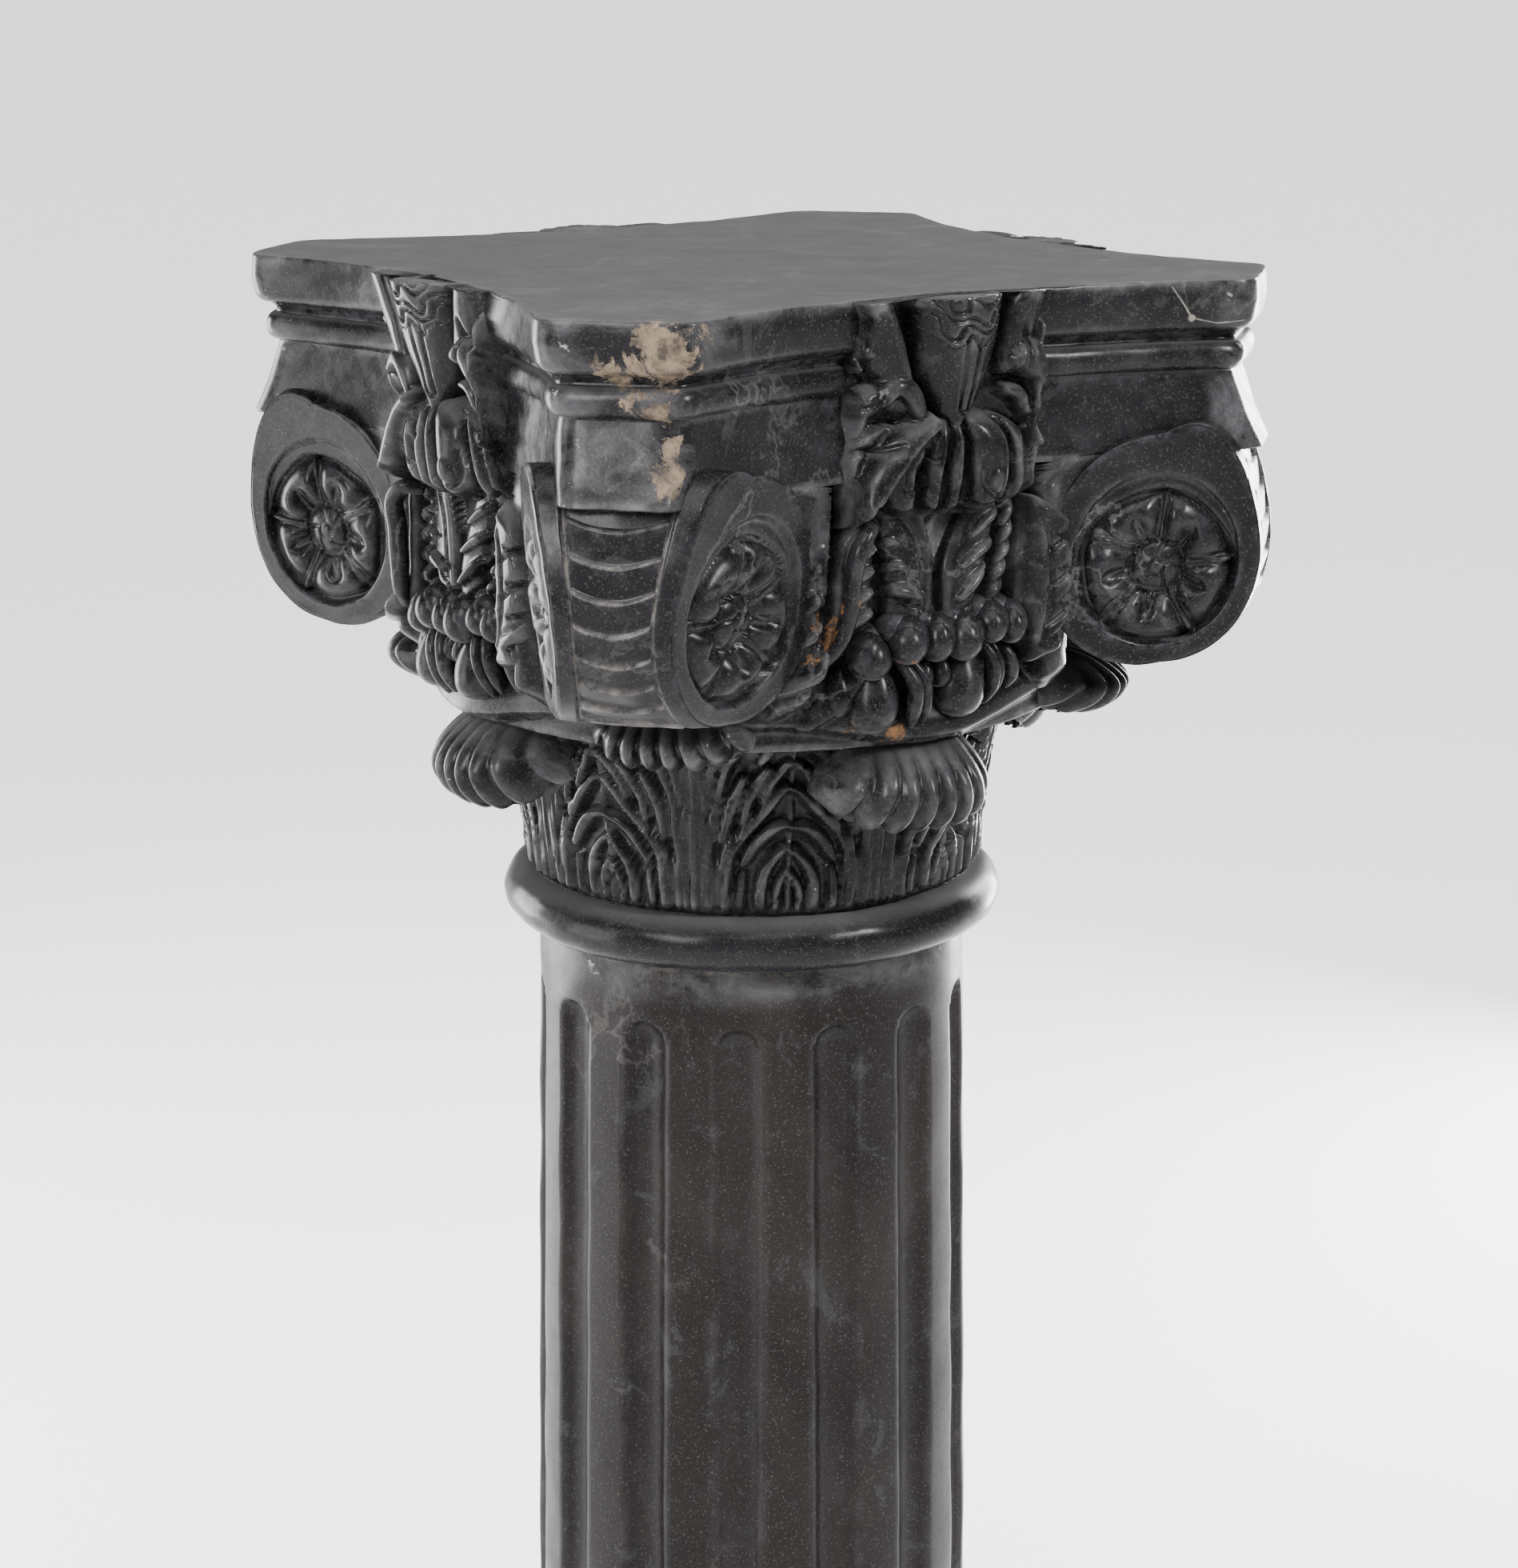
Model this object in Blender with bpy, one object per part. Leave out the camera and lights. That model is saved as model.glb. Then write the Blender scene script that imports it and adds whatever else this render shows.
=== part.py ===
"""Marble pedestal: a square plinth and round base, a fluted shaft, and a carved four-horned capital.

The origin is the centre of the underside, +Z is up and -Y is the front. Metres throughout.
The capital is carved the same on its four sides and its four corners.
"""
import math

import bmesh
import bpy
from mathutils import Matrix, Vector

# Overall sizes
OVERALL_HEIGHT = 1.100
CAPITAL_HEIGHT = 0.306
BASE_HEIGHT = 0.130
JOINT_GAP = 0.0003

# Shaft
NECK_RADIUS = 0.100
FOOT_RADIUS = 0.108
FLUTE_COUNT = 14
FLUTE_WIDTH = 0.0215
FLUTE_DEPTH = 0.0065
FLUTE_MARGIN = 0.0277
FLUTE_TURN = math.radians(3.79)
SHAFT_FOOT_FLARE = 0.006

# Base
PLINTH_WIDTH = 0.310
PLINTH_HEIGHT = 0.046
PLINTH_CHAMFER = 0.0025
LOWER_TORUS_HEIGHT = 0.034
UPPER_TORUS_HEIGHT = 0.020
FILLET_HEIGHT = 0.004
LOWER_TORUS_REACH = 0.040
UPPER_TORUS_REACH = 0.022
SCOTIA_REACH = 0.008

# The capital is drawn in parts: 100 across to the neck's radius and 306 up to its height
ACROSS = NECK_RADIUS / 100
UP = CAPITAL_HEIGHT / 306

# Capital: ring at the foot and the bell above it
ASTRAGAL_HEIGHT = 26 * UP
ASTRAGAL_REACH = 16.8 * ACROSS
BELL_FOOT_INSET = 3 * ACROSS
BELL_SPREAD = 8 * ACROSS
BELL_LIP_SPREAD = 34 * ACROSS
BELL_LIP_HEIGHT = 122 * UP
BELL_LIP_SWING = 8 * UP
DRUM_FOOT_RADIUS = 148 * ACROSS
DRUM_TOP_RADIUS = 150 * ACROSS

# Capital: horned slab
ABACUS_HEIGHT = 75 * UP
HORN_REACH = 230.2 * ACROSS
HORN_HALF_WIDTH = 31.5 * ACROSS
SIDE_SAG = 30 * ACROSS

# Capital: corner scrolls
SCROLL_CENTRE_REACH = 195 * ACROSS
SCROLL_FRONT_RADIUS = 41 * ACROSS
SCROLL_BACK_RADIUS = 47 * ACROSS
SCROLL_TOP_RADIUS = 54 * UP
SCROLL_BOTTOM_RADIUS = 49 * UP
SCROLL_CENTRE_HEIGHT = CAPITAL_HEIGHT - ABACUS_HEIGHT - SCROLL_TOP_RADIUS + 9 * UP
SCROLL_HALF_WIDTH = 43 * ACROSS
SCROLL_TAPER = 0.42
SCROLL_LEAN = 0.106 * ACROSS / UP
SCROLL_RECESS = 6.5 * ACROSS
SCALE_COUNT = 7
PETAL_COUNT = 8
ROSETTE_TURN = math.radians(12)

# Capital: curled leaves, and the row of eggs in parts
LEAF_ROOT = 88 * ACROSS
LEAF_RIBS = 8
EGG_COUNT = 6
EGG_SPACING = 16.5
EGG_RADIUS = 9

CORNERS = 4
CARVING_FACE_SHARE = 0.30
FLAT_ANGLE = math.radians(4.0)
JOINT_HEIGHT = OVERALL_HEIGHT - CAPITAL_HEIGHT
MARBLE = (0.030, 0.030, 0.033, 1.0)


def clear_scene():
    for item in list(bpy.data.objects):
        bpy.data.objects.remove(item, do_unlink=True)


def marble_material(name, colour):
    material = bpy.data.materials.new(name)
    material.use_nodes = True
    shader = material.node_tree.nodes["Principled BSDF"]
    shader.inputs["Base Color"].default_value = colour
    shader.inputs["Roughness"].default_value = 0.3
    shader.inputs["Metallic"].default_value = 0.0
    return material


def loft(rings):
    """A closed solid through rings of equal length. Each end is closed by a fan to its centre."""
    mesh = bmesh.new()
    loops = [[mesh.verts.new(point) for point in ring] for ring in rings]
    count = len(loops[0])
    for lower, upper in zip(loops, loops[1:]):
        for i in range(count):
            j = (i + 1) % count
            mesh.faces.new((lower[i], lower[j], upper[j], upper[i]))
    for ring in (loops[0], loops[-1]):
        centre = mesh.verts.new(sum((v.co for v in ring), Vector()) / count)
        for i in range(count):
            mesh.faces.new((ring[i], ring[(i + 1) % count], centre))
    bmesh.ops.recalc_face_normals(mesh, faces=mesh.faces)
    return mesh


def add_solid(target, solid, transform=Matrix()):
    """Copies a solid into the target mesh, moved by the transform."""
    copies = {vertex: target.verts.new(transform @ vertex.co) for vertex in solid.verts}
    for face in solid.faces:
        target.faces.new([copies[vertex] for vertex in face.verts])


def make_object(name, mesh, material, smooth_angle=math.radians(35)):
    bmesh.ops.triangulate(mesh, faces=mesh.faces)
    data = bpy.data.meshes.new(name)
    mesh.to_mesh(data)
    mesh.free()
    data.materials.append(material)
    data.shade_smooth()
    data.set_sharp_from_angle(angle=smooth_angle)
    item = bpy.data.objects.new(name, data)
    bpy.context.scene.collection.objects.link(item)
    return item


def helper(name, mesh, material):
    """A solid that is only there to be joined onto another."""
    item = make_object(name, mesh, material)
    item.hide_render = True
    item.display_type = "WIRE"
    return item


def join(item, other):
    union = item.modifiers.new("with_" + other.name, "BOOLEAN")
    union.operation = "UNION"
    union.solver = "EXACT"
    union.use_self = True
    union.object = other


def lerp(a, b, share):
    return a + (b - a) * share


def smooth_path(points, steps):
    """Points along a smooth curve through the given ones."""
    count = len(points)
    path = []
    for i in range(steps + 1):
        place = i / steps * (count - 1)
        k = min(int(place), count - 2)
        t = place - k
        before = points[max(k - 1, 0)]
        start, end = points[k], points[k + 1]
        after = points[min(k + 2, count - 1)]
        path.append(0.5 * (2 * start + (end - before) * t
                           + (2 * before - 5 * start + 4 * end - after) * t ** 2
                           + (3 * start - before - 3 * end + after) * t ** 3))
    return path


def at(x, depth, height):
    """A point of the front side's carving: parts across, out from the axis, and up from the joint."""
    return Vector((x * ACROSS, -depth * ACROSS, JOINT_HEIGHT + height * UP))


def blade(points, half_width, thickness, outward, steps=3, sides=4):
    """A leaf or stalk: a lens-shaped bar along a smooth path, drawn in to a point at both ends."""
    path = smooth_path([at(*point) for point in points], steps)
    half_width, thickness = half_width * ACROSS, thickness * ACROSS
    rings = []
    for i, place in enumerate(path):
        tangent = (path[min(i + 1, steps)] - path[max(i - 1, 0)]).normalized()
        normal = (outward - tangent * outward.dot(tangent)).normalized()
        side = tangent.cross(normal)
        swell = 0.18 + 0.82 * math.sin(math.pi * (i + 0.35) / (steps + 0.7)) ** 0.7
        ring = []
        for k in range(sides):
            turn = math.tau * k / sides
            ring.append(place + side * half_width * swell * math.cos(turn)
                        + normal * thickness * swell * math.sin(turn))
        rings.append(ring)
    return loft(rings)


def ball(centre, across, deep, tall, segments=6, rows=2):
    """A closed egg shape with its long axis upright."""
    across, deep, tall = across * ACROSS, deep * ACROSS, tall * UP
    rings = []
    for i in range(rows + 1):
        lift = math.pi * (i + 0.3) / (rows + 0.6) - math.pi / 2
        ring = []
        for k in range(segments):
            turn = math.tau * k / segments
            ring.append(Vector((centre[0] + across * math.cos(lift) * math.cos(turn),
                                centre[1] + deep * math.cos(lift) * math.sin(turn),
                                centre[2] + tall * math.sin(lift))))
        rings.append(ring)
    return loft(rings)


def build_base():
    """Square plinth, lower torus, fillet, hollow, fillet and upper torus, in one block."""
    segments = 32
    foot = FOOT_RADIUS + SHAFT_FOOT_FLARE
    hollow_height = (BASE_HEIGHT - PLINTH_HEIGHT - LOWER_TORUS_HEIGHT
                     - UPPER_TORUS_HEIGHT - 2 * FILLET_HEIGHT)
    profile = []

    def torus(radius, low, height, reach):
        for i in range(5):
            lift = math.pi * i / 4
            bulge = reach * math.sin(lift) ** 0.8
            profile.append((radius + bulge, low + height * (1 - math.cos(lift)) / 2))

    lower_wall = foot + LOWER_TORUS_REACH - 0.5 * LOWER_TORUS_HEIGHT
    torus(lower_wall, PLINTH_HEIGHT, LOWER_TORUS_HEIGHT, 0.5 * LOWER_TORUS_HEIGHT)
    fillet_low = PLINTH_HEIGHT + LOWER_TORUS_HEIGHT
    profile.append((lower_wall, fillet_low + FILLET_HEIGHT))
    hollow_low = fillet_low + FILLET_HEIGHT
    upper_wall = foot + UPPER_TORUS_REACH - 0.5 * UPPER_TORUS_HEIGHT
    for share in (0.2, 0.5, 0.8):
        chord = lerp(lower_wall, upper_wall, share)
        profile.append((chord - SCOTIA_REACH * math.sin(math.pi * share),
                        hollow_low + hollow_height * share))
    profile.append((upper_wall, hollow_low + hollow_height))
    profile.append((upper_wall, hollow_low + hollow_height + FILLET_HEIGHT))
    torus(upper_wall, BASE_HEIGHT - UPPER_TORUS_HEIGHT, UPPER_TORUS_HEIGHT, 0.5 * UPPER_TORUS_HEIGHT)

    half = PLINTH_WIDTH / 2
    rings = []
    for size, height in ((half - PLINTH_CHAMFER, 0.0), (half, PLINTH_CHAMFER),
                         (half, PLINTH_HEIGHT - PLINTH_CHAMFER), (half - PLINTH_CHAMFER, PLINTH_HEIGHT)):
        ring = []
        for k in range(segments):
            turn = math.tau * k / segments
            c, s = math.cos(turn), math.sin(turn)
            stretch = size / max(abs(c), abs(s))
            ring.append(Vector((c * stretch, s * stretch, height)))
        rings.append(ring)
    last = (0.0, 0.0)
    for radius, height in profile:
        if math.dist((radius, height), last) < 1e-5:
            continue
        last = (radius, height)
        rings.append([Vector((radius * math.cos(math.tau * k / segments),
                              radius * math.sin(math.tau * k / segments), height))
                      for k in range(segments)])
    return loft(rings)


def shaft_radius(height):
    """Radius of the plain shaft, a little fuller low down."""
    low = BASE_HEIGHT + JOINT_GAP
    high = JOINT_HEIGHT - JOINT_GAP
    share = (high - height) / (high - low)
    return lerp(NECK_RADIUS, FOOT_RADIUS, math.sin(share * math.pi / 2))


def build_shaft():
    """Round shaft with upright flutes, each closed by a half-round arch at both ends."""
    low = BASE_HEIGHT + JOINT_GAP
    high = JOINT_HEIGHT - JOINT_GAP
    half = FLUTE_WIDTH / 2
    top = high - FLUTE_MARGIN
    bottom = low + FLUTE_MARGIN
    arch = (0.0, 0.2, 1.0)
    rows = [(high, 0.0), (top + 0.3 * half, 0.0)]
    rows += [(top - half * a, math.sqrt(1 - (1 - a) ** 2)) for a in arch]
    rows += [(lerp(top - half, bottom + half, share), 1.0) for share in (0.45,)]
    rows += [(bottom + half * a, math.sqrt(1 - (1 - a) ** 2)) for a in reversed(arch)]
    rows += [(low + 0.45 * FLUTE_MARGIN, 0.0), (low, 0.0)]
    pitch = math.tau / FLUTE_COUNT
    rings = []
    for height, opening in rows:
        radius = shaft_radius(height)
        if height < low + 0.4 * FLUTE_MARGIN:
            radius += SHAFT_FOOT_FLARE
        span = max(opening, 0.06) * half / radius
        ring = []
        for flute in range(FLUTE_COUNT):
            centre = FLUTE_TURN + flute * pitch
            for across in (-1.0, -0.55, 0.55, 1.0):
                reach = radius - FLUTE_DEPTH * opening * (1 - across ** 2)
                turn = centre + across * span
                ring.append(Vector((reach * math.cos(turn), reach * math.sin(turn), height)))
        rings.append(ring)
    return loft(rings)


def side_outline(side_inset, horn_inset, steps):
    """Points of the horned outline in plan, with its hollow sides and flat horn ends set in."""
    reach = HORN_REACH
    corner_x = (reach - HORN_HALF_WIDTH) / math.sqrt(2)
    corner_depth = (reach + HORN_HALF_WIDTH) / math.sqrt(2)
    middle_depth = corner_depth - SIDE_SAG
    radius = (corner_x ** 2 + SIDE_SAG ** 2) / (2 * SIDE_SAG)
    arc_centre = middle_depth + radius
    arc = radius + side_inset
    chamfer = math.sqrt(2) * (reach - horn_inset)
    # The set-in arc meets the set-in horn end where x + depth = chamfer.
    b = arc_centre - chamfer
    x_end = (-b + math.sqrt(max(2 * arc ** 2 - b ** 2, 1e-9))) / 2
    points = []
    for quarter in range(CORNERS):
        turn = Matrix.Rotation(math.tau * quarter / CORNERS, 3, "Z")
        for i in range(steps + 1):
            x = lerp(-x_end, x_end, i / steps)
            depth = arc_centre - math.sqrt(arc ** 2 - x ** 2)
            points.append(turn @ Vector((x, -depth, 0.0)))
    return points


def build_abacus():
    """Horned slab: plain band, bead, and a fascia that flares at the horns, over a plain wall.

    Each row is a drop from the top and how far the sides and the horns are set in.
    """
    rows = (
        (0, 0.5, 0.5), (1.5, 0, 0), (19, 0.6, 0.6), (23.5, 3.6, 3.6), (26, 7.8, 7.8), (29, 5.2, 5.2),
        (34.5, 4.5, 4.5), (40, 7, 7), (41.5, 8.8, 8.8), (58, 8.2, 5.5), (75, 7, -4), (76.5, 10, 2),
        (81, 11.5, 50), (90, 14, 70),
    )
    rings = []
    for drop, side_inset, horn_inset in rows:
        ring = side_outline(side_inset * ACROSS, horn_inset * ACROSS, 6)
        rings.append([point + Vector((0, 0, OVERALL_HEIGHT - drop * UP)) for point in ring])
    return loft(rings)


def lip_height(turn):
    """Height of the bell's lip above the joint: it dips on the four sides and rises at the corners."""
    return BELL_LIP_HEIGHT - BELL_LIP_SWING * math.cos(4 * turn)


def bell_radius(turn, share):
    """Radius and height of the bell at a share of the way up to its lip."""
    foot = NECK_RADIUS + BELL_FOOT_INSET
    height = lerp(ASTRAGAL_HEIGHT, lip_height(turn), share)
    radius = foot + BELL_SPREAD * share + BELL_LIP_SPREAD * share ** 6
    return radius, height


def bell_relief(column, share):
    """Low leaf relief: ribs, stems and veins as ridges between hollows."""
    strength = math.sin(math.pi * min(max(share, 0.0), 1.0)) ** 0.5
    ridge = (-1.0, 3.2, -2.2, 2.6, -2.2, 3.2)[column % 6]
    return ridge * strength * ACROSS


def round_ring(radius, height, segments, turn=0.0):
    """Points of a level circle round the pedestal's axis, its height above the joint."""
    return [Vector((radius * math.cos(turn + math.tau * k / segments),
                    radius * math.sin(turn + math.tau * k / segments), JOINT_HEIGHT + height))
            for k in range(segments)]


def build_drum():
    """The plain round core between the bell's lip and the slab."""
    drum_top = CAPITAL_HEIGHT - ABACUS_HEIGHT + 10 * UP
    foot = [Vector((point.x, point.y, JOINT_HEIGHT + UP + lip_height(math.atan2(point.y, point.x))))
            for point in round_ring(DRUM_FOOT_RADIUS, 0.0, 32)]
    return loft([foot, round_ring(DRUM_TOP_RADIUS, drum_top, 32)])


def build_bell():
    """Round ring at the foot and the flaring bell with its leaf relief, closed inside the drum."""
    segments = 48
    foot = NECK_RADIUS + BELL_FOOT_INSET
    rings = []
    for i in range(6):
        lift = math.pi * i / 5
        radius = foot + (ASTRAGAL_REACH - BELL_FOOT_INSET) * math.sin(lift)
        rings.append(round_ring(radius, ASTRAGAL_HEIGHT * (1 - math.cos(lift)) / 2, segments))
    for share in (0.06, 0.35, 0.65, 0.85, 1.0):
        ring = []
        for k in range(segments):
            turn = math.tau * k / segments
            radius, height = bell_radius(turn, share)
            radius += bell_relief(k, share)
            ring.append(Vector((radius * math.cos(turn), radius * math.sin(turn), JOINT_HEIGHT + height)))
        rings.append(ring)
    rings.append(round_ring(DRUM_FOOT_RADIUS - 16 * ACROSS, BELL_LIP_HEIGHT + 22 * UP, segments))
    return loft(rings)


def curled_leaf(reach, tip_height, drop, half_width, ribs):
    """A leaf that rolls over outwards. Local x runs across it, -y outwards and z up from the joint."""
    reach, half_width = reach * ACROSS, half_width * ACROSS
    tip_height, drop = tip_height * UP, drop * UP
    outline = ((0.00, -0.25), (0.50, 0.02), (0.84, -0.16), (1.00, -0.55), (0.86, -0.96),
               (0.66, -0.98), (0.38, -0.58))
    fan = (0.60, 0.78, 0.92, 0.99, 1.00, 0.96, 0.74)
    stations = 2 * ribs + 1
    rings = []
    for i in range(stations):
        across = lerp(-0.97, 0.97, i / (stations - 1))
        shrink = (1 - abs(across) ** 2.6) ** 0.45
        rib = 1.0 if i % 2 else 0.92
        ring = []
        for (out, down), spread in zip(outline, fan):
            grow = lerp(0.55, 1.0, shrink) * (rib if out > 0.3 else 1.0)
            x = across * half_width * spread
            depth = LEAF_ROOT + (reach - LEAF_ROOT) * out * grow - 0.18 * abs(x)
            ring.append(Vector((x, -depth, tip_height + drop * down * grow)))
        rings.append(ring)
    return loft(rings)


def scroll_point(turn, share, across, lift):
    """A point of a corner scroll: turn round its centre, share of its radius, across its width.

    The lift raises a point of either side face outwards.
    """
    c, s = math.cos(turn), math.sin(turn)
    reach = SCROLL_CENTRE_REACH + share * c * (SCROLL_FRONT_RADIUS if c > 0 else SCROLL_BACK_RADIUS)
    rise = share * s * (SCROLL_TOP_RADIUS if s > 0 else SCROLL_BOTTOM_RADIUS)
    half = SCROLL_HALF_WIDTH - SCROLL_TAPER * (reach - SCROLL_CENTRE_REACH) + SCROLL_LEAN * rise
    return reach, half * across + math.copysign(1.0, across) * lift, rise


def build_scroll():
    """Corner scroll with a rosette on both faces and overlapping scales down its front band."""
    front_turns = [lerp(math.radians(-78), math.radians(72), i / (2 * SCALE_COUNT))
                   for i in range(2 * SCALE_COUNT + 1)]
    back_turns = [lerp(math.radians(98), math.radians(256), i / 5) for i in range(6)]
    turns = front_turns + back_turns
    face = ((0.20, -SCROLL_RECESS), (0.72, -SCROLL_RECESS), (0.75, 0.0), (1.0, 0.0))
    rings = []

    def face_ring(side, share, lift):
        ring = []
        for turn in turns:
            reach, x, rise = scroll_point(turn, share, side, lift)
            ring.append(Vector((x, -reach, JOINT_HEIGHT + SCROLL_CENTRE_HEIGHT + rise)))
        rings.append(ring)

    def band_ring(across, cut, scales):
        ring = []
        for k, turn in enumerate(turns):
            step = scales if k < len(front_turns) and k % 2 == 0 else 0.0
            share = 1.0 - (cut + step) * ACROSS / SCROLL_FRONT_RADIUS
            sag = 0.10 * (1 - abs(across) / 0.7) if k < len(front_turns) else 0.0
            reach, x, rise = scroll_point(turn - sag, share, across, 0.0)
            ring.append(Vector((x, -reach, JOINT_HEIGHT + SCROLL_CENTRE_HEIGHT + rise)))
        rings.append(ring)

    for share, lift in face:
        face_ring(-1.0, share, lift)
    for across, cut, scales in ((-0.70, 0.5, 0.0), (-0.64, 3.0, 0.0), (-0.02, -1.5, 2.5), (0.64, 3.0, 0.0),
                                (0.70, 0.5, 0.0)):
        band_ring(across, cut, scales)
    for share, lift in reversed(face):
        face_ring(1.0, share, lift)
    return loft(rings)


def build_rosette(side):
    """Full petals and deep notches round a button, set into one face of a corner scroll."""
    levels = ((0.69, 0.44, -9.5, -9.5), (0.66, 0.42, -2.5, -6.6), (0.36, 0.26, -0.5, -6.6),
              (0.16, 0.16, -3.5, -3.5), (0.10, 0.10, 0.0, 0.0))
    rings = []
    for petal_reach, notch_reach, petal_lift, notch_lift in levels:
        ring = []
        for k in range(2 * PETAL_COUNT):
            share, lift = (notch_reach, notch_lift) if k % 2 else (petal_reach, petal_lift)
            turn = ROSETTE_TURN + math.pi * k / PETAL_COUNT
            reach, x, rise = scroll_point(turn, share, side, lift * ACROSS)
            ring.append(Vector((x, -reach, JOINT_HEIGHT + SCROLL_CENTRE_HEIGHT + rise)))
        rings.append(ring)
    return loft(rings)


def build_bud():
    """The pointed bud in the middle of the slab, narrowing downwards."""
    rings = []
    for share in (0.0, 0.3, 0.65, 0.88, 0.97):
        half = 22.5 * (1 - share ** 2.2) ** 0.75 + 2
        face = lerp(176, 160, share)
        ring = []
        for k in range(9):
            turn = math.pi * k / 8
            ring.append(at(-half * math.cos(turn), 148 + (face - 148) * math.sin(turn) ** 0.6,
                           lerp(305, 252, share)))
        ring.append(at(0.0, 140, lerp(305, 252, share)))
        rings.append(ring)
    return loft(rings)


def build_panel():
    """The block in the middle of each side of the slab that the flower is carved from."""
    rings = []
    for height, half, face in ((305, 50, 168), (270, 50, 160), (235, 49, 156), (214, 46, 150)):
        ring = [at(-half, 140, height), at(-half, face - 6, height), at(-half * 0.8, face, height),
                at(0.0, face - 4, height), at(half * 0.8, face, height), at(half, face - 6, height),
                at(half, 140, height)]
        rings.append(ring)
    return loft(rings)


def build_side_carving():
    """Carving of one side: flower, leaves, stalks, a row of eggs and the hanging drops."""
    out = Vector((0, -1, 0))
    carving = bmesh.new()
    pieces = [build_panel(), build_bud()]
    # Folded leaves beside the bud
    pieces.append(blade(((-52, 160, 303), (-44, 166, 288), (-30, 164, 268), (-24, 158, 258)), 9, 8, out))
    pieces.append(blade(((42, 162, 303), (36, 167, 288), (28, 164, 268), (26, 158, 258)), 9, 8, out))
    # Drooping flower
    for x_end, z_end, half in ((-55, 219, 11), (-26, 214, 10), (2, 212, 10), (26, 213, 10), (43, 222, 9)):
        points = ((0.15 * x_end, 158, 254), (0.55 * x_end, 167, 244),
                  (0.9 * x_end, 168, lerp(244, z_end, 0.5)), (x_end, 160, z_end))
        pieces.append(blade(points, half, 7, out))
    # Leaves and stalks under the flower
    for points, half, thick in (
            (((-4, 148, 170), (-18, 156, 190), (-27, 152, 214)), 11, 8),
            (((6, 148, 170), (21, 157, 192), (30, 152, 214)), 13, 8),
            (((36, 146, 168), (45, 154, 188), (40, 150, 214)), 6, 8),
            (((-34, 146, 168), (-42, 154, 188), (-38, 150, 214)), 6, 8),
            (((72, 140, 146), (63, 152, 172), (52, 150, 200)), 13, 10),
            (((-64, 142, 146), (-52, 154, 178), (-44, 150, 208)), 8, 9)):
        pieces.append(blade(points, half, thick, out))
    # Row of eggs
    for i in range(EGG_COUNT):
        x = (i - (EGG_COUNT - 1) / 2) * EGG_SPACING + 2
        depth = math.sqrt(153 ** 2 - x ** 2)
        pieces.append(ball(at(x, depth, 164 - 0.007 * x ** 2), EGG_RADIUS, EGG_RADIUS, 1.15 * EGG_RADIUS))
    # Hanging drops
    for x, half, low, high in ((-25.6, 14.5, 120, 152), (25.6, 14.5, 120, 152), (0.0, 8, 134, 154)):
        rings = []
        for share, swell in ((0.0, 0.6), (0.25, 1.0), (0.65, 0.85), (1.0, 0.45)):
            ring = []
            for k in range(6):
                turn = math.tau * k / 6
                ring.append(at(x + half * swell * math.cos(turn), 142 + half * swell * math.sin(turn),
                               lerp(low, high, share)))
            rings.append(ring)
        pieces.append(loft(rings))
    for piece in pieces:
        add_solid(carving, piece)
        piece.free()
    return carving


def build_capital(material):
    """The carved capital: core, leaves, scrolls and flowers, then rosettes, bell and slab joined on."""
    carving = bmesh.new()
    rosettes = bmesh.new()
    for quarter in range(CORNERS):
        side = Matrix.Rotation(math.tau * quarter / CORNERS, 4, "Z")
        corner = Matrix.Rotation(math.tau * (quarter + 0.5) / CORNERS, 4, "Z")
        lift = Matrix.Translation((0, 0, JOINT_HEIGHT))
        for solid, transform in (
                (curled_leaf(160, 112, 41, 43, LEAF_RIBS), side @ lift),
                (curled_leaf(176, 136, 30, 38, LEAF_RIBS), corner @ lift),
                (build_scroll(), corner),
                (build_side_carving(), side)):
            add_solid(carving, solid, transform)
            solid.free()
        for face in (-1.0, 1.0):
            rosette = build_rosette(face)
            add_solid(rosettes, rosette, corner)
            rosette.free()
    capital = make_object("capital", build_drum(), material)
    join(capital, helper("capital_carving", carving, material))
    thin = capital.modifiers.new("fewer_faces", "DECIMATE")
    thin.ratio = CARVING_FACE_SHARE
    for name, solid in (("capital_rosettes", rosettes), ("capital_bell", build_bell()),
                        ("capital_slab", build_abacus())):
        join(capital, helper(name, solid, material))
    flat = capital.modifiers.new("merge_flat_faces", "DECIMATE")
    flat.decimate_type = "DISSOLVE"
    flat.angle_limit = FLAT_ANGLE
    return capital


def build_pedestal():
    clear_scene()
    make_object("base", build_base(), marble_material("base_marble", MARBLE))
    make_object("shaft", build_shaft(), marble_material("shaft_marble", MARBLE))
    build_capital(marble_material("capital_marble", MARBLE))


build_pedestal()
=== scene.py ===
"""Marble pedestal: finely carved capital, fluted shaft and turned base in near-black marble.

Carving is laid out in millimetres above the joint between shaft and capital, and turned to metres when
a piece is made. Sides are laid out across, out from the axis, and up. One design goes round four times.
"""
import math

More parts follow.
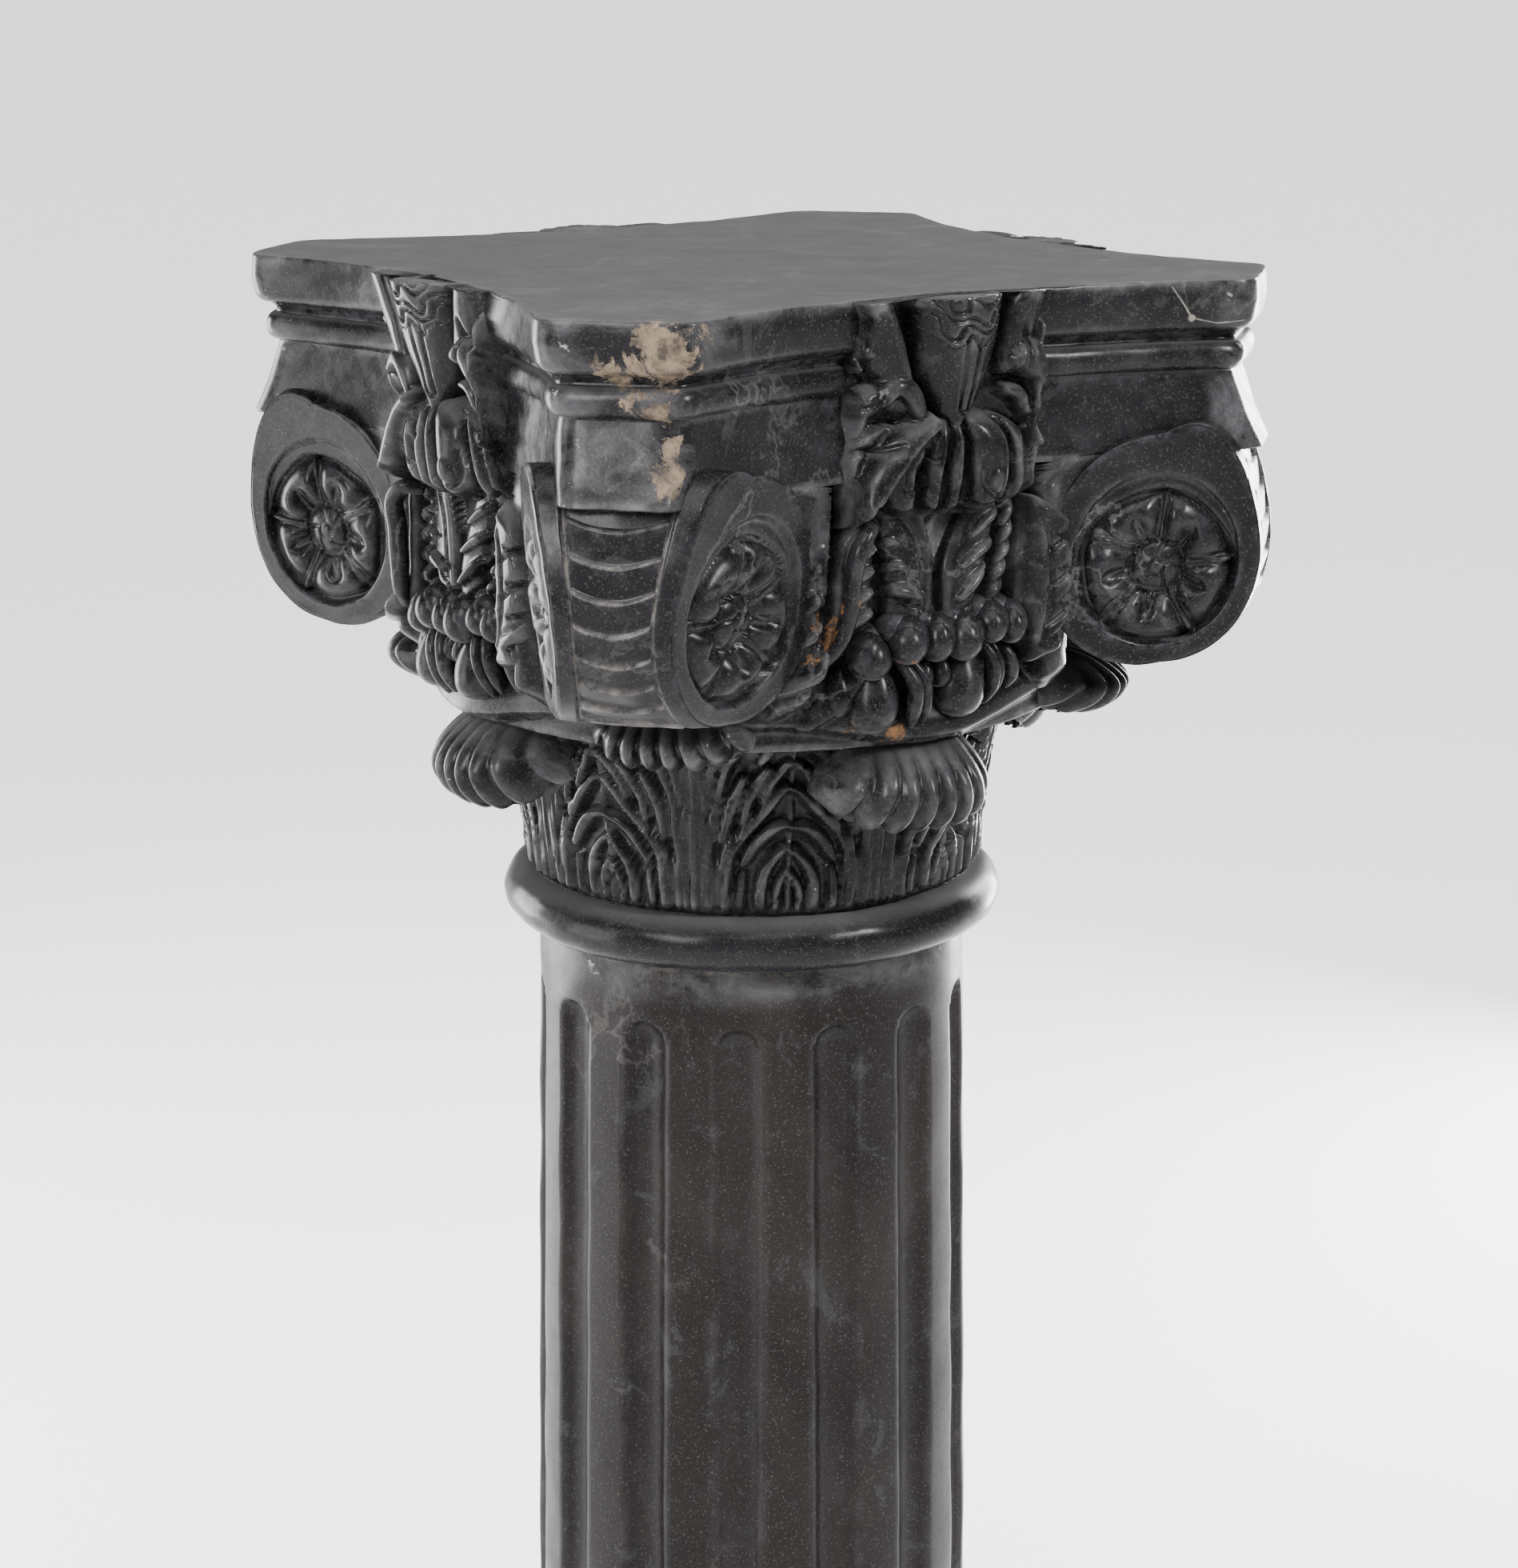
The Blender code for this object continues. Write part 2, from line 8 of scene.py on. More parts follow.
import bpy
import numpy as np
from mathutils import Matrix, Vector


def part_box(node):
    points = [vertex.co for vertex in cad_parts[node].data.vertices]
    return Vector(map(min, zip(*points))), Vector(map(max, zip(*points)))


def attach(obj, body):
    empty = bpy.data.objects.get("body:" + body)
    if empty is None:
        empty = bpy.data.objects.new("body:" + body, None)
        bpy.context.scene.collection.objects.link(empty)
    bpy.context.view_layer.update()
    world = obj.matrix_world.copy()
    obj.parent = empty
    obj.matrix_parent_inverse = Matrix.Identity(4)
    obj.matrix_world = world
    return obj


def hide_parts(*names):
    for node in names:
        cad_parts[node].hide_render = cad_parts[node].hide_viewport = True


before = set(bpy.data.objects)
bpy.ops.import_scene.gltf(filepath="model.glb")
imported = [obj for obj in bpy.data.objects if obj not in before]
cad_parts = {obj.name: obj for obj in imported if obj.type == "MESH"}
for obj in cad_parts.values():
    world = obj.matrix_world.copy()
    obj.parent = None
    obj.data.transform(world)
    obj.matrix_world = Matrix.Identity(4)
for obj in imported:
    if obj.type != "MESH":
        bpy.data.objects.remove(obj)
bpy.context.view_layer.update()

MM = 0.001
capital_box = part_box("capital")
shaft_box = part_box("shaft")
base_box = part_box("base")
JOINT = capital_box[0][2]
# Height of the top above the joint, and how far the stone may reach to each side
TOP = 306.0
SIDE_REACH = 185.4

# Photograph's camera, worked out from the shaft's edges and the slab's corners
CAMERA_TURN = math.radians(-31.565)
CAMERA_LIFT = math.radians(14.845)
CAMERA_DISTANCE = 1.6165
CAMERA_LENS = 78.8
AIM_ACROSS = 0.0036
AIM_ABOVE_JOINT = 0.0598


def lerp(a, b, share):
    """The value a share of the way from a to b."""
    return a + (b - a) * share


def unit(x):
    """The value, kept between 0 and 1."""
    return np.clip(x, 0.0, 1.0)


def ease(low, high, x):
    """Smooth step from 0 at low to 1 at high."""
    t = unit((x - low) / (high - low))
    return t * t * (3.0 - 2.0 * t)


def full_turn(segments):
    """Turns in even steps once round."""
    return np.linspace(0, math.tau, segments, endpoint=False)


def about_axis(radius, turn, z):
    """Points at a radius and a turn about the pedestal's axis."""
    return np.stack([radius * np.cos(turn), radius * np.sin(turn), z + 0 * turn], axis=-1)


def link(name, data):
    """An object of the given data, put in the scene."""
    item = bpy.data.objects.new(name, data)
    bpy.context.scene.collection.objects.link(item)
    return item


def new_material(name):
    """A material, its node tree and its shader."""
    material = bpy.data.materials.new(name)
    material.use_nodes = True
    return material, material.node_tree, material.node_tree.nodes["Principled BSDF"]


def hand(points):
    """The slight unevenness of hand carving, as a smooth shift of up to half a millimetre."""
    x, y, z = points[..., 0], points[..., 1], points[..., 2]
    shift = np.stack([
        0.30 * np.sin(0.071 * y + 0.9) * np.cos(0.083 * z) + 0.12 * np.sin(0.31 * z + 0.23 * y),
        0.30 * np.sin(0.067 * x + 2.1) * np.cos(0.079 * z + 1.0) + 0.12 * np.sin(0.29 * z + 0.21 * x),
        0.25 * np.sin(0.061 * x + 0.073 * y + 0.4) + 0.10 * np.sin(0.27 * x - 0.25 * y),
    ], axis=-1)
    return points + shift


class Carver:
    """Collects grids of points, in millimetres above the joint, and makes one mesh of them."""

    def __init__(self, wobble=True):
        self.points = []
        self.quads = []
        self.fans = []
        self.count = 0
        self.wear_and_sheen_weight = []
        self.chalk = []
        self.wobble = wobble

    def grid(self, points, around=False, capped=False, wear_and_sheen_weight=1.0, chalk=None):
        """Adds rows of points. around closes each row on itself, capped closes the two end rows."""
        rows, columns = points.shape[:2]
        start = self.count
        index = start + np.arange(rows * columns).reshape(rows, columns)
        right = np.roll(index, -1, axis=1) if around else index[:, 1:]
        left = index if around else index[:, :-1]
        quads = np.stack([left[:-1], right[:-1], right[1:], left[1:]], axis=-1).reshape(-1, 4)
        self.points.append(points.reshape(-1, 3))
        extra = 2 if capped else 0
        self.wear_and_sheen_weight.append(np.full(rows * columns + extra, wear_and_sheen_weight))
        self.chalk.append(np.zeros(rows * columns) if chalk is None else chalk.reshape(-1))
        self.chalk.append(np.zeros(extra))
        self.quads.append(quads)
        self.count += rows * columns
        if capped:
            for row, flipped in ((0, True), (rows - 1, False)):
                self.points.append(points[row].mean(axis=0)[None, :])
                hub = self.count
                self.count += 1
                ring = index[row]
                after = np.roll(ring, -1)
                first, second = (after, ring) if flipped else (ring, after)
                self.fans.append(np.stack([first, second, np.full_like(ring, hub)], axis=-1))

    def solid(self, rings, turn=0.0, wear_and_sheen_weight=1.0):
        """Adds a closed solid through rings of points, turned about the axis."""
        self.grid(turned(np.array(rings, dtype=float), turn), around=True, capped=True, wear_and_sheen_weight=wear_and_sheen_weight)

    def make(self, name, material, sharp=None):
        """Makes the mesh, with edges over the sharp angle in degrees left sharp."""
        points = np.concatenate(self.points)
        if self.wobble:
            points = hand(points)
        points[:, 2] = np.minimum(points[:, 2], TOP)
        points[:, :2] = np.clip(points[:, :2], -SIDE_REACH, SIDE_REACH)
        points = points * MM
        points[:, 2] += JOINT
        faces = [tuple(face) for block in self.quads for face in block.tolist()]
        faces += [tuple(face) for block in self.fans for face in block.tolist()]
        mesh = bpy.data.meshes.new(name)
        mesh.from_pydata(points.tolist(), [], faces)
        mesh.materials.append(material)
        mesh.shade_smooth()
        if sharp:
            mesh.set_sharp_from_angle(angle=math.radians(sharp))
        mesh.update()
        store_wear_and_sheen(mesh, points, np.concatenate(self.wear_and_sheen_weight), np.concatenate(self.chalk))
        return link(name, mesh)


# Stained places in millimetres from the axis and the joint: centre, reach and strength
STAINS = {
    "crust": (
        ((-150, -178, 293), 24, 1.0), ((-160, -168, 284), 20, 0.9), ((-140, -185, 279), 13, 0.8),
        ((-150, -172, 268), 11, 1.0), ((-146, -176, 243), 14, 1.0), ((-135, -186, 300), 18, 0.7),
        ((-144, -178, 256), 11, 1.0), ((-158, -166, 232), 9, 0.7), ((64, -150, 264), 9, 0.4),
        ((-166, -160, 300), 16, 0.5),
    ),
    "ochre": (
        ((-47, -158, 180), 11, 0.95), ((-52, -152, 166), 12, 0.95), ((-58, -148, 152), 12, 0.9),
        ((-24, -156, 150), 8, 0.85), ((-16, -160, 149), 9, 0.8), ((-36, -158, 168), 8, 0.8),
        ((-44, -146, 122), 14, 0.8), ((-20, -150, 116), 12, 0.75), ((8, -158, 150), 7, 0.6),
        ((-22, -156, 96), 8, 0.8), ((-30, -150, 100), 8, 0.6), ((-118, -136, 112), 8, 0.8),
        ((196, -120, 138), 10, 0.7), ((-158, -150, 170), 10, 0.5), ((-2, -158, 74), 7, 0.6),
        ((-28, -148, 200), 7, 0.6), ((-60, -146, 170), 12, 0.8), ((-64, -144, 150), 10, 0.8),
    ),
}

# Rounds of smoothing that show what is sunk or proud, and how many millimetres of it count in full
SMOOTHING_ROUNDS = 14
SUNK_IN_FULL = 0.9
PROUD_IN_FULL = 0.8


def store_wear_and_sheen(mesh, points, wear_and_sheen_weight, chalk):
    """Stores how sunk, proud and upturned every point is, for dust, wear and a painted sheen, and how
    stained the stone is there.
    """
    count = len(mesh.vertices)
    ends = np.empty(len(mesh.edges) * 2, dtype=np.int32)
    mesh.edges.foreach_get("vertices", ends)
    first, second = ends[0::2], ends[1::2]
    normals = np.empty(count * 3, dtype=np.float32)
    mesh.vertices.foreach_get("normal", normals)
    normals = normals.reshape(-1, 3)
    neighbours = np.bincount(first, minlength=count) + np.bincount(second, minlength=count)
    neighbours = np.maximum(neighbours, 1)[:, None]
    smoothed = points.copy()
    for _ in range(SMOOTHING_ROUNDS):
        total = np.stack([np.bincount(first, weights=smoothed[second, axis], minlength=count)
                          + np.bincount(second, weights=smoothed[first, axis], minlength=count)
                          for axis in range(3)], axis=-1)
        smoothed = 0.4 * smoothed + 0.6 * total / neighbours
    depth = np.sum((smoothed - points) * normals, axis=1) / MM
    sunk = unit(depth * wear_and_sheen_weight / SUNK_IN_FULL)
    # How proud a point is later pales its edge: partly rubbed wear, partly a painted sheen on ridges
    proud = unit(-depth * wear_and_sheen_weight / PROUD_IN_FULL - 0.25)
    upturned = unit(normals[:, 2]) ** 1.5
    store_values(mesh, "wear_and_sheen", (sunk, proud, upturned))
    place = points / MM - np.array([0, 0, JOINT / MM])
    stains = []
    for kind in ("crust", "ochre"):
        amount = np.zeros(count)
        for centre, reach, strength in STAINS[kind]:
            gap = np.linalg.norm(place - np.array(centre), axis=1)
            amount = np.maximum(amount, strength * np.exp(-(gap / reach) ** 2))
        stains.append(amount)
    joint_line = np.maximum(np.exp(-((place[:, 2] + 0.5) / 1.3) ** 2), chalk)
    store_values(mesh, "stains", (*stains, joint_line))


def store_values(mesh, name, values):
    """Stores three values for every point as a colour attribute."""
    colours = np.stack([*values, np.ones(len(mesh.vertices))], axis=-1).astype(np.float32)
    attribute = mesh.color_attributes.new(name, "FLOAT_COLOR", "POINT")
    attribute.data.foreach_set("color", colours.ravel())


def turned(points, turn):
    """Points turned about the pedestal's axis."""
    c, s = math.cos(turn), math.sin(turn)
    x, y = points[..., 0], points[..., 1]
    return np.stack([c * x - s * y, s * x + c * y, points[..., 2]], axis=-1)


def front(x, depth, z):
    """Points of the front side's layout: across, out from the axis and up."""
    x, depth, z = np.broadcast_arrays(x, depth, z)
    return np.stack([x, -depth, z], axis=-1).astype(float)


def smooth_path(points, steps):
    """Points along a smooth curve through the given ones."""
    points = np.array(points, dtype=float)
    count = len(points)
    place = np.linspace(0, count - 1, steps + 1)
    k = np.minimum(place.astype(int), count - 2)
    t = (place - k)[:, None]
    before = points[np.maximum(k - 1, 0)]
    start, end = points[k], points[k + 1]
    after = points[np.minimum(k + 2, count - 1)]
    return 0.5 * (2 * start + (end - before) * t + (2 * before - 5 * start + 4 * end - after) * t ** 2
                  + (3 * start - before - 3 * end + after) * t ** 3)


def blade(points, half_width, thickness, steps=40, sides=24, pinch=0.7, tip=0.12):
    """A stem or flap: a rounded bar along a smooth path, drawn in at both ends."""
    path = smooth_path(points, steps) * np.array([1.0, -1.0, 1.0])
    tangent = np.gradient(path, axis=0)
    tangent /= np.linalg.norm(tangent, axis=1)[:, None]
    outward = np.array([0.0, -1.0, 0.0]) + 0.35 * np.array([1.0, 0.0, 0.0]) * (path[:, :1] / 60.0)
    normal = outward - tangent * np.sum(outward * tangent, axis=1)[:, None]
    normal /= np.linalg.norm(normal, axis=1)[:, None]
    side = np.cross(tangent, normal)
    share = np.linspace(0, 1, steps + 1)
    swell = (tip + (1 - tip) * np.sin(np.pi * (share * 0.94 + 0.03)) ** pinch)[:, None]
    turn = full_turn(sides)[None, :]
    across = (np.cos(turn) * half_width * swell)[..., None]
    lift = (np.sin(turn) * thickness * swell)[..., None]
    return path[:, None, :] + side[:, None, :] * across + normal[:, None, :] * lift


def ball(centre, across, deep, tall, segments=24, rows=14, lean=0.0):
    """An egg shape, with its broader end down when lean is above 0."""
    lift = np.pi * (np.arange(rows + 1) + 0.15) / (rows + 0.3) - np.pi / 2
    turn = full_turn(segments)
    girth = np.cos(lift) * (1.0 - lean * np.sin(lift))
    x = centre[0] + across * girth[:, None] * np.cos(turn)[None, :]
    depth = centre[1] + deep * girth[:, None] * np.sin(turn)[None, :]
    z = centre[2] + tall * np.sin(lift)[:, None] + 0 * x
    return front(x, depth, z)


def along(curve, x, z):
    """Share along a curve and distance off it, for every point of a flat layout."""
    curve = np.array(curve, dtype=float)
    steps = np.diff(curve, axis=0)
    lengths = np.linalg.norm(steps, axis=1)
    starts = np.concatenate([[0.0], np.cumsum(lengths)])
    best = np.full(x.shape, 1e9)
    share = np.zeros(x.shape)
    off = np.zeros(x.shape)
    for k, (step, length) in enumerate(zip(steps, lengths)):
        dx, dz = x - curve[k, 0], z - curve[k, 1]
        t = unit((dx * step[0] + dz * step[1]) / length ** 2)
        gap = np.hypot(dx - t * step[0], dz - t * step[1])
        sign = np.sign(step[0] * dz - step[1] * dx)
        nearer = gap < best
        best = np.where(nearer, gap, best)
        share = np.where(nearer, (starts[k] + t * length) / starts[-1], share)
        off = np.where(nearer, sign * gap, off)
    return share, off


def pad(curve, x, z, half_width, height, lean=0.0, power=2.2, taper=0.3, steps=24):
    """Height of a swelling along a curve, its crest leaning to one side and its ends rounded off."""
    share, off = along(smooth_path(curve, steps), x, z)
    width = half_width * (taper + (1 - taper) * np.sin(np.pi * unit(share * 0.88 + 0.06)) ** 0.6)
    t = off / width
    t = np.where(t > lean, (t - lean) / (1 - lean), (t - lean) / (1 + lean))
    return height * unit(1.0 - np.abs(t) ** power) ** 0.6


def groove(curve, x, z, half_width, depth, steps=24):
    """Depth of a sharp cut along a curve."""
    share, off = along(smooth_path(curve, steps), x, z)
    ends = np.sin(np.pi * np.clip(share, 0.04, 0.96)) ** 0.3
    return depth * ends * np.exp(-(np.abs(off) / half_width) ** 1.6)


def raised(relief, leaves, x, z, **shape):
    """The relief with leaves on it, each a curve with its half width, height and lean."""
    for curve, half_width, height, lean in leaves:
        relief = np.maximum(relief, pad(curve, x, z, half_width, height, lean=lean, **shape))
    return relief


def cut_in(relief, cuts, x, z, steps=24):
    """The relief with sharp cuts in it, each a curve with its half width and depth."""
    for curve, half_width, depth in cuts:
        relief = relief - groove(curve, x, z, half_width, depth, steps)
    return relief


# Slab

HORN_REACH = 230.2
HORN_HALF_WIDTH = 31.5
SIDE_SAG = 30.0
SIDE_STEPS = 58
HORN_STEPS = 12
CORNER_BLUNTING = 0.3
WALL_STEP = 18.0


def slab_outline(side_inset, horn_inset):
    """Horned outline in plan, hollow on the sides and flat at the horns, with worn corners."""
    corner_x = (HORN_REACH - HORN_HALF_WIDTH) / math.sqrt(2)
    corner_depth = (HORN_REACH + HORN_HALF_WIDTH) / math.sqrt(2)
    middle_depth = corner_depth - SIDE_SAG
    radius = (corner_x ** 2 + SIDE_SAG ** 2) / (2 * SIDE_SAG)
    arc_centre = middle_depth + radius
    arc = radius + side_inset
    chamfer = math.sqrt(2) * (HORN_REACH - horn_inset)
    b = arc_centre - chamfer
    x_end = (-b + math.sqrt(2 * arc ** 2 - b ** 2)) / 2
    x = np.linspace(-x_end, x_end, SIDE_STEPS + 1)
    side = np.stack([x, -(arc_centre - np.sqrt(arc ** 2 - x ** 2)), 0 * x], axis=-1)
    next_start = turned(side[:1], math.pi / 2)[0]
    share = np.linspace(0, 1, HORN_STEPS + 1)[1:-1, None]
    horn = side[-1] + (next_start - side[-1]) * share
    quarter = np.concatenate([side, horn])
    ring = np.concatenate([turned(quarter, k * math.pi / 2) for k in range(4)])
    for _ in range(2):
        beside = np.roll(ring, 1, axis=0) + np.roll(ring, -1, axis=0)
        ring = (1 - 2 * CORNER_BLUNTING) * ring + CORNER_BLUNTING * beside
    return ring


def rounded_profile(corners, step):
    """A profile through the (height, side inset, horn inset) corners, sampled every step or less."""
    rows = []
    for a, b in zip(corners, corners[1:]):
        a, b = np.array(a, dtype=float), np.array(b, dtype=float)
        count = max(1, int(math.ceil(abs(b[0] - a[0]) / step)))
        rows += [lerp(a, b, i / count) for i in range(count)]
    rows.append(np.array(corners[-1], dtype=float))
    return rows


def build_slab(carver):
    """Band, groove, bead and fascia of the horned slab, and the plain wall under it."""
    band = [(TOP, 1.2, 1.2), (TOP - 0.35, 0.45, 0.45), (TOP - 1.2, 0.0, 0.0), (296.0, -0.5, -0.5)]
    for a in np.linspace(0.15, math.pi / 2, 8):
        inset = 0.3 + 6.0 * (1 - math.cos(a))
        band.append((289.5 - 6.0 * math.sin(a), inset, inset))
    hollow = [(281.6, 8.2, 8.2), (280.2, 9.0, 9.0), (279.4, 8.6, 8.6)]
    bead = []
    for a in np.linspace(math.pi, 0, 14):
        inset = 8.6 - 4.4 * math.sin(a)
        bead.append((272.6 - 6.4 * math.cos(a), inset, inset))
    fascia = [(265.2, 9.2, 9.2), (263.0, 9.0, 8.6), (255.0, 8.4, 6.0), (247.0, 7.8, 3.0),
              (239.0, 7.4, -0.6), (233.2, 7.0, -3.6), (232.0, 7.0, -4.0), (231.4, 7.3, -3.4)]
    under = [(231.0, 7.2, 0.0), (230.0, 7.2, 14.0), (228.5, 7.3, 34.0), (225.0, 7.5, 52.0),
             (212.0, 8.0, 66.0), (190.0, 9.0, 80.0), (165.0, 13.0, 95.0), (146.0, 21.0, 105.0)]
    top = [(TOP, 40.0, 60.0), (TOP, 12.0, 14.0), (TOP, 3.5, 3.5)]
    corners = top + band + hollow + bead + fascia + under
    rings = []
    for height, side_inset, horn_inset in rounded_profile(corners, 2.5):
        ring = slab_outline(side_inset, horn_inset)
        ring[:, 2] = height
        if height < 229.0:
            # Behind the side carving the wall steps back
            reach = np.abs(ring[:, :2])
            back = WALL_STEP * (1 - ease(47.0, 54.0, np.min(reach, axis=1)))[:, None]
            ring[:, :2] -= np.sign(ring[:, :2]) * back * (reach == np.max(reach, axis=1)[:, None])
        rings.append(ring)
    carver.grid(np.array(rings)[::-1], around=True, capped=True)


# Bell

BELL_FOOT = 103.0
RING_HEIGHT = 26.0
RING_REACH = 116.8
RING_FOOT = 101.5
LIP_HEIGHT = 122.0
LIP_SWING = 8.0
RELIEF_GROUND = -2.8


def bell_height(turn, share):
    """Height a share of the way from the ring to the lip, which dips in the middle of each side."""
    lip = LIP_HEIGHT - LIP_SWING * np.cos(4 * turn)
    return lerp(RING_HEIGHT, lip, share)


def bell_radius(share):
    """Radius of the bell's ground, flaring towards the lip."""
    return BELL_FOOT + 8.0 * share + 34.0 * share ** 6


def sprig_relief(turn, z):
    """Leaf relief of the bell: eight sprigs of curved fronds with upright stalks between them."""
    sector = math.pi / 4
    warp = 0.9 * np.sin(3.0 * turn + 0.05 * z) + 0.7 * np.sin(7.0 * turn + 1.3)
    warp = warp + 0.5 * np.sin(0.21 * z + 5 * turn)
    local = np.mod(turn, sector) - sector / 2
    u = np.abs(local * 106.0 + 0.6 * warp)
    z = z + 0.9 * np.sin(5.0 * turn + 0.7) + 0.7 * np.sign(local) * np.sin(9.0 * turn)
    fronds = (
        # Small arches and the wing beside the spine
        (((4.6, 18), (5.6, 32), (4.4, 41), (1, 48)), 2.5, 2.8, 0.2),
        (((11, 18), (12.6, 36), (10.0, 49), (2, 58)), 3.3, 3.4, 0.3),
        (((1, 69), (8, 67), (14.5, 61), (20, 52)), 4.0, 4.0, 0.3),
        (((19.5, 20), (21.5, 34), (20.5, 47)), 3.4, 2.4, 0.0),
        # Main frond that bends in to the spine, and its fingers
        (((27.5, 16), (29.5, 40), (27, 58), (17, 72), (3, 87)), 4.6, 4.6, 0.35),
        (((30, 64), (27, 78), (20.5, 93)), 3.6, 4.6, 0.3),
        (((22, 72), (18, 84), (11, 97)), 3.6, 4.4, 0.3),
        (((13, 81), (8.5, 91), (2, 100)), 3.3, 4.0, 0.3),
        # Outer frond and the tips under the curled leaves
        (((34, 16), (35, 48), (34, 72), (30, 90), (25.5, 103)), 3.0, 4.2, 0.0),
        (((36.5, 80), (33.5, 98), (27, 113)), 3.4, 3.8, 0.2),
        (((29, 97), (22, 108), (12, 118)), 3.6, 3.6, 0.3),
        (((14, 100), (8, 109), (1, 117)), 3.4, 3.2, 0.3),
        # Stalks
        (((41.6, 10), (41.6, 60), (41.6, 125)), 2.6, 4.2, 0.0),
        (((37.4, 14), (37.8, 60), (38.4, 104)), 1.9, 3.6, 0.0),
        (((0, 14), (0, 60), (0, 116)), 1.3, 3.0, 0.0),
    )
    relief = np.full(u.shape, RELIEF_GROUND)
    for curve, half_width, height, lean in fronds:
        frond = pad(curve, u, z, half_width, height - RELIEF_GROUND, lean=lean, power=2.0, taper=0.35)
        relief = np.maximum(relief, RELIEF_GROUND + frond)
    cuts = (
        (((0.6, 39), (4, 35), (7, 31)), 0.8, 1.8),
        (((0.6, 49), (5, 45), (9, 40)), 0.8, 1.8),
        (((0.6, 64), (5, 61), (9, 58)), 0.8, 1.6),
        (((29, 24), (29.5, 42), (26, 58), (16, 72)), 0.7, 1.4),
        (((27, 78), (24, 86)), 0.7, 1.6),
        (((18, 84), (14, 92)), 0.7, 1.6),
        (((9, 91), (5, 97)), 0.7, 1.4),
        (((34, 40), (34.5, 70), (31, 88)), 0.7, 1.6),
        (((12, 26), (12.5, 38), (9, 50)), 0.7, 1.2),
    )
    relief = cut_in(relief, cuts, u, z, steps=12)
    # Drilled holes between the fronds
    holes = ((23.5, 66.0, 1.5, 3.8), (31.5, 56.0, 1.1, 3.4), (16.5, 78.0, 1.4, 3.4))
    for hole_u, hole_z, across, tall in holes:
        relief = relief - 3.0 * np.exp(-((u - hole_u) / across) ** 2 - ((z - hole_z) / tall) ** 2)
    return relief


def build_bell(carver):
    """Round ring at the foot, and the bell with its relief."""
    turn = full_turn(464)[None, :]
    lift = np.linspace(0, math.pi, 26)[:, None]
    ring_r = RING_FOOT + (RING_REACH - RING_FOOT) * np.sin(lift) ** 0.9
    ring_z = 0.35 + (RING_HEIGHT - 0.35) * (1 - np.cos(lift)) / 2
    share = np.linspace(0.012, 1.0, 92)[:, None]
    height = bell_height(turn, share)
    strength = ease(0.0, 0.06, share) * (1 - ease(0.90, 1.0, share))
    radius = bell_radius(share) + strength * sprig_relief(turn + 0 * share, height) + 0.8
    lip = np.linspace(0, 1, 9)[1:, None]
    lip_z = bell_height(turn, 1.0) + 5.0 * np.sin(lip * math.pi / 2)
    lip_r = bell_radius(1.0) + 3.0 - 5.0 * (1 - np.cos(lip * math.pi / 2)) + 0 * turn
    # Plain drum behind the carving above
    drum_z = np.array([[140.0], [230.0]]) + 0 * turn
    drum_r = np.array([[142.0], [146.0]]) + 0 * turn
    radius = np.concatenate([ring_r + 0 * turn, radius, lip_r, drum_r])
    z = np.concatenate([ring_z + 0 * turn, height, lip_z, drum_z])
    carver.grid(about_axis(radius, turn, z), around=True, capped=True, wear_and_sheen_weight=0.5)


# Corner scrolls

SCROLL_REACH = 195.0
SCROLL_RISE = 186.0
SCROLL_HALF_WIDTH = 43.0
SCROLL_OUT = 41.0
SCROLL_BACK = 47.0
SCROLL_UP = 54.0
SCROLL_DOWN = 49.0
SCROLL_MEAN_RADIUS = 48.0
# Edge of the scaled panel and the line beside it as shares of the half width, and rows of one scale
PANEL_EDGE = 0.64
PANEL_LINE = 0.66
SCALE_ROWS = 11
# Rosette on the scroll's side face: half sizes in millimetres, and the turn of its first long leaf
ROSETTE_HALF_WIDTH = 31.8
ROSETTE_HALF_HEIGHT = 34.0
ROSETTE_TURN = math.radians(80)
LEDGE_HALF_WIDTH = 34.5
LEDGE_HALF_HEIGHT = 38.5


def scroll_radii(turn):
    """Out and up radii of the scroll at a turn about its centre: squarer at its upper outer corner."""
    c, s = np.cos(turn), np.sin(turn)
    out = np.where(c > 0, SCROLL_OUT, SCROLL_BACK)
    up = np.where(s > 0, SCROLL_UP, SCROLL_DOWN)
    square = 1.0 + 0.20 * unit(-c) * unit(-s) + 0.50 * unit(c) * unit(s) ** 4
    return out * square, up * square


def scroll_point(turn, share, across, lift):
    """Point of a scroll in its corner's layout: side, reach and height."""
    out, up = scroll_radii(turn)
    reach = SCROLL_REACH + share * out * np.cos(turn)
    rise = share * up * np.sin(turn)
    half = SCROLL_HALF_WIDTH - 0.42 * (reach - SCROLL_REACH) + 0.106 * rise
    x = half * across + np.sign(across) * lift
    return front(x, reach, SCROLL_RISE + rise)


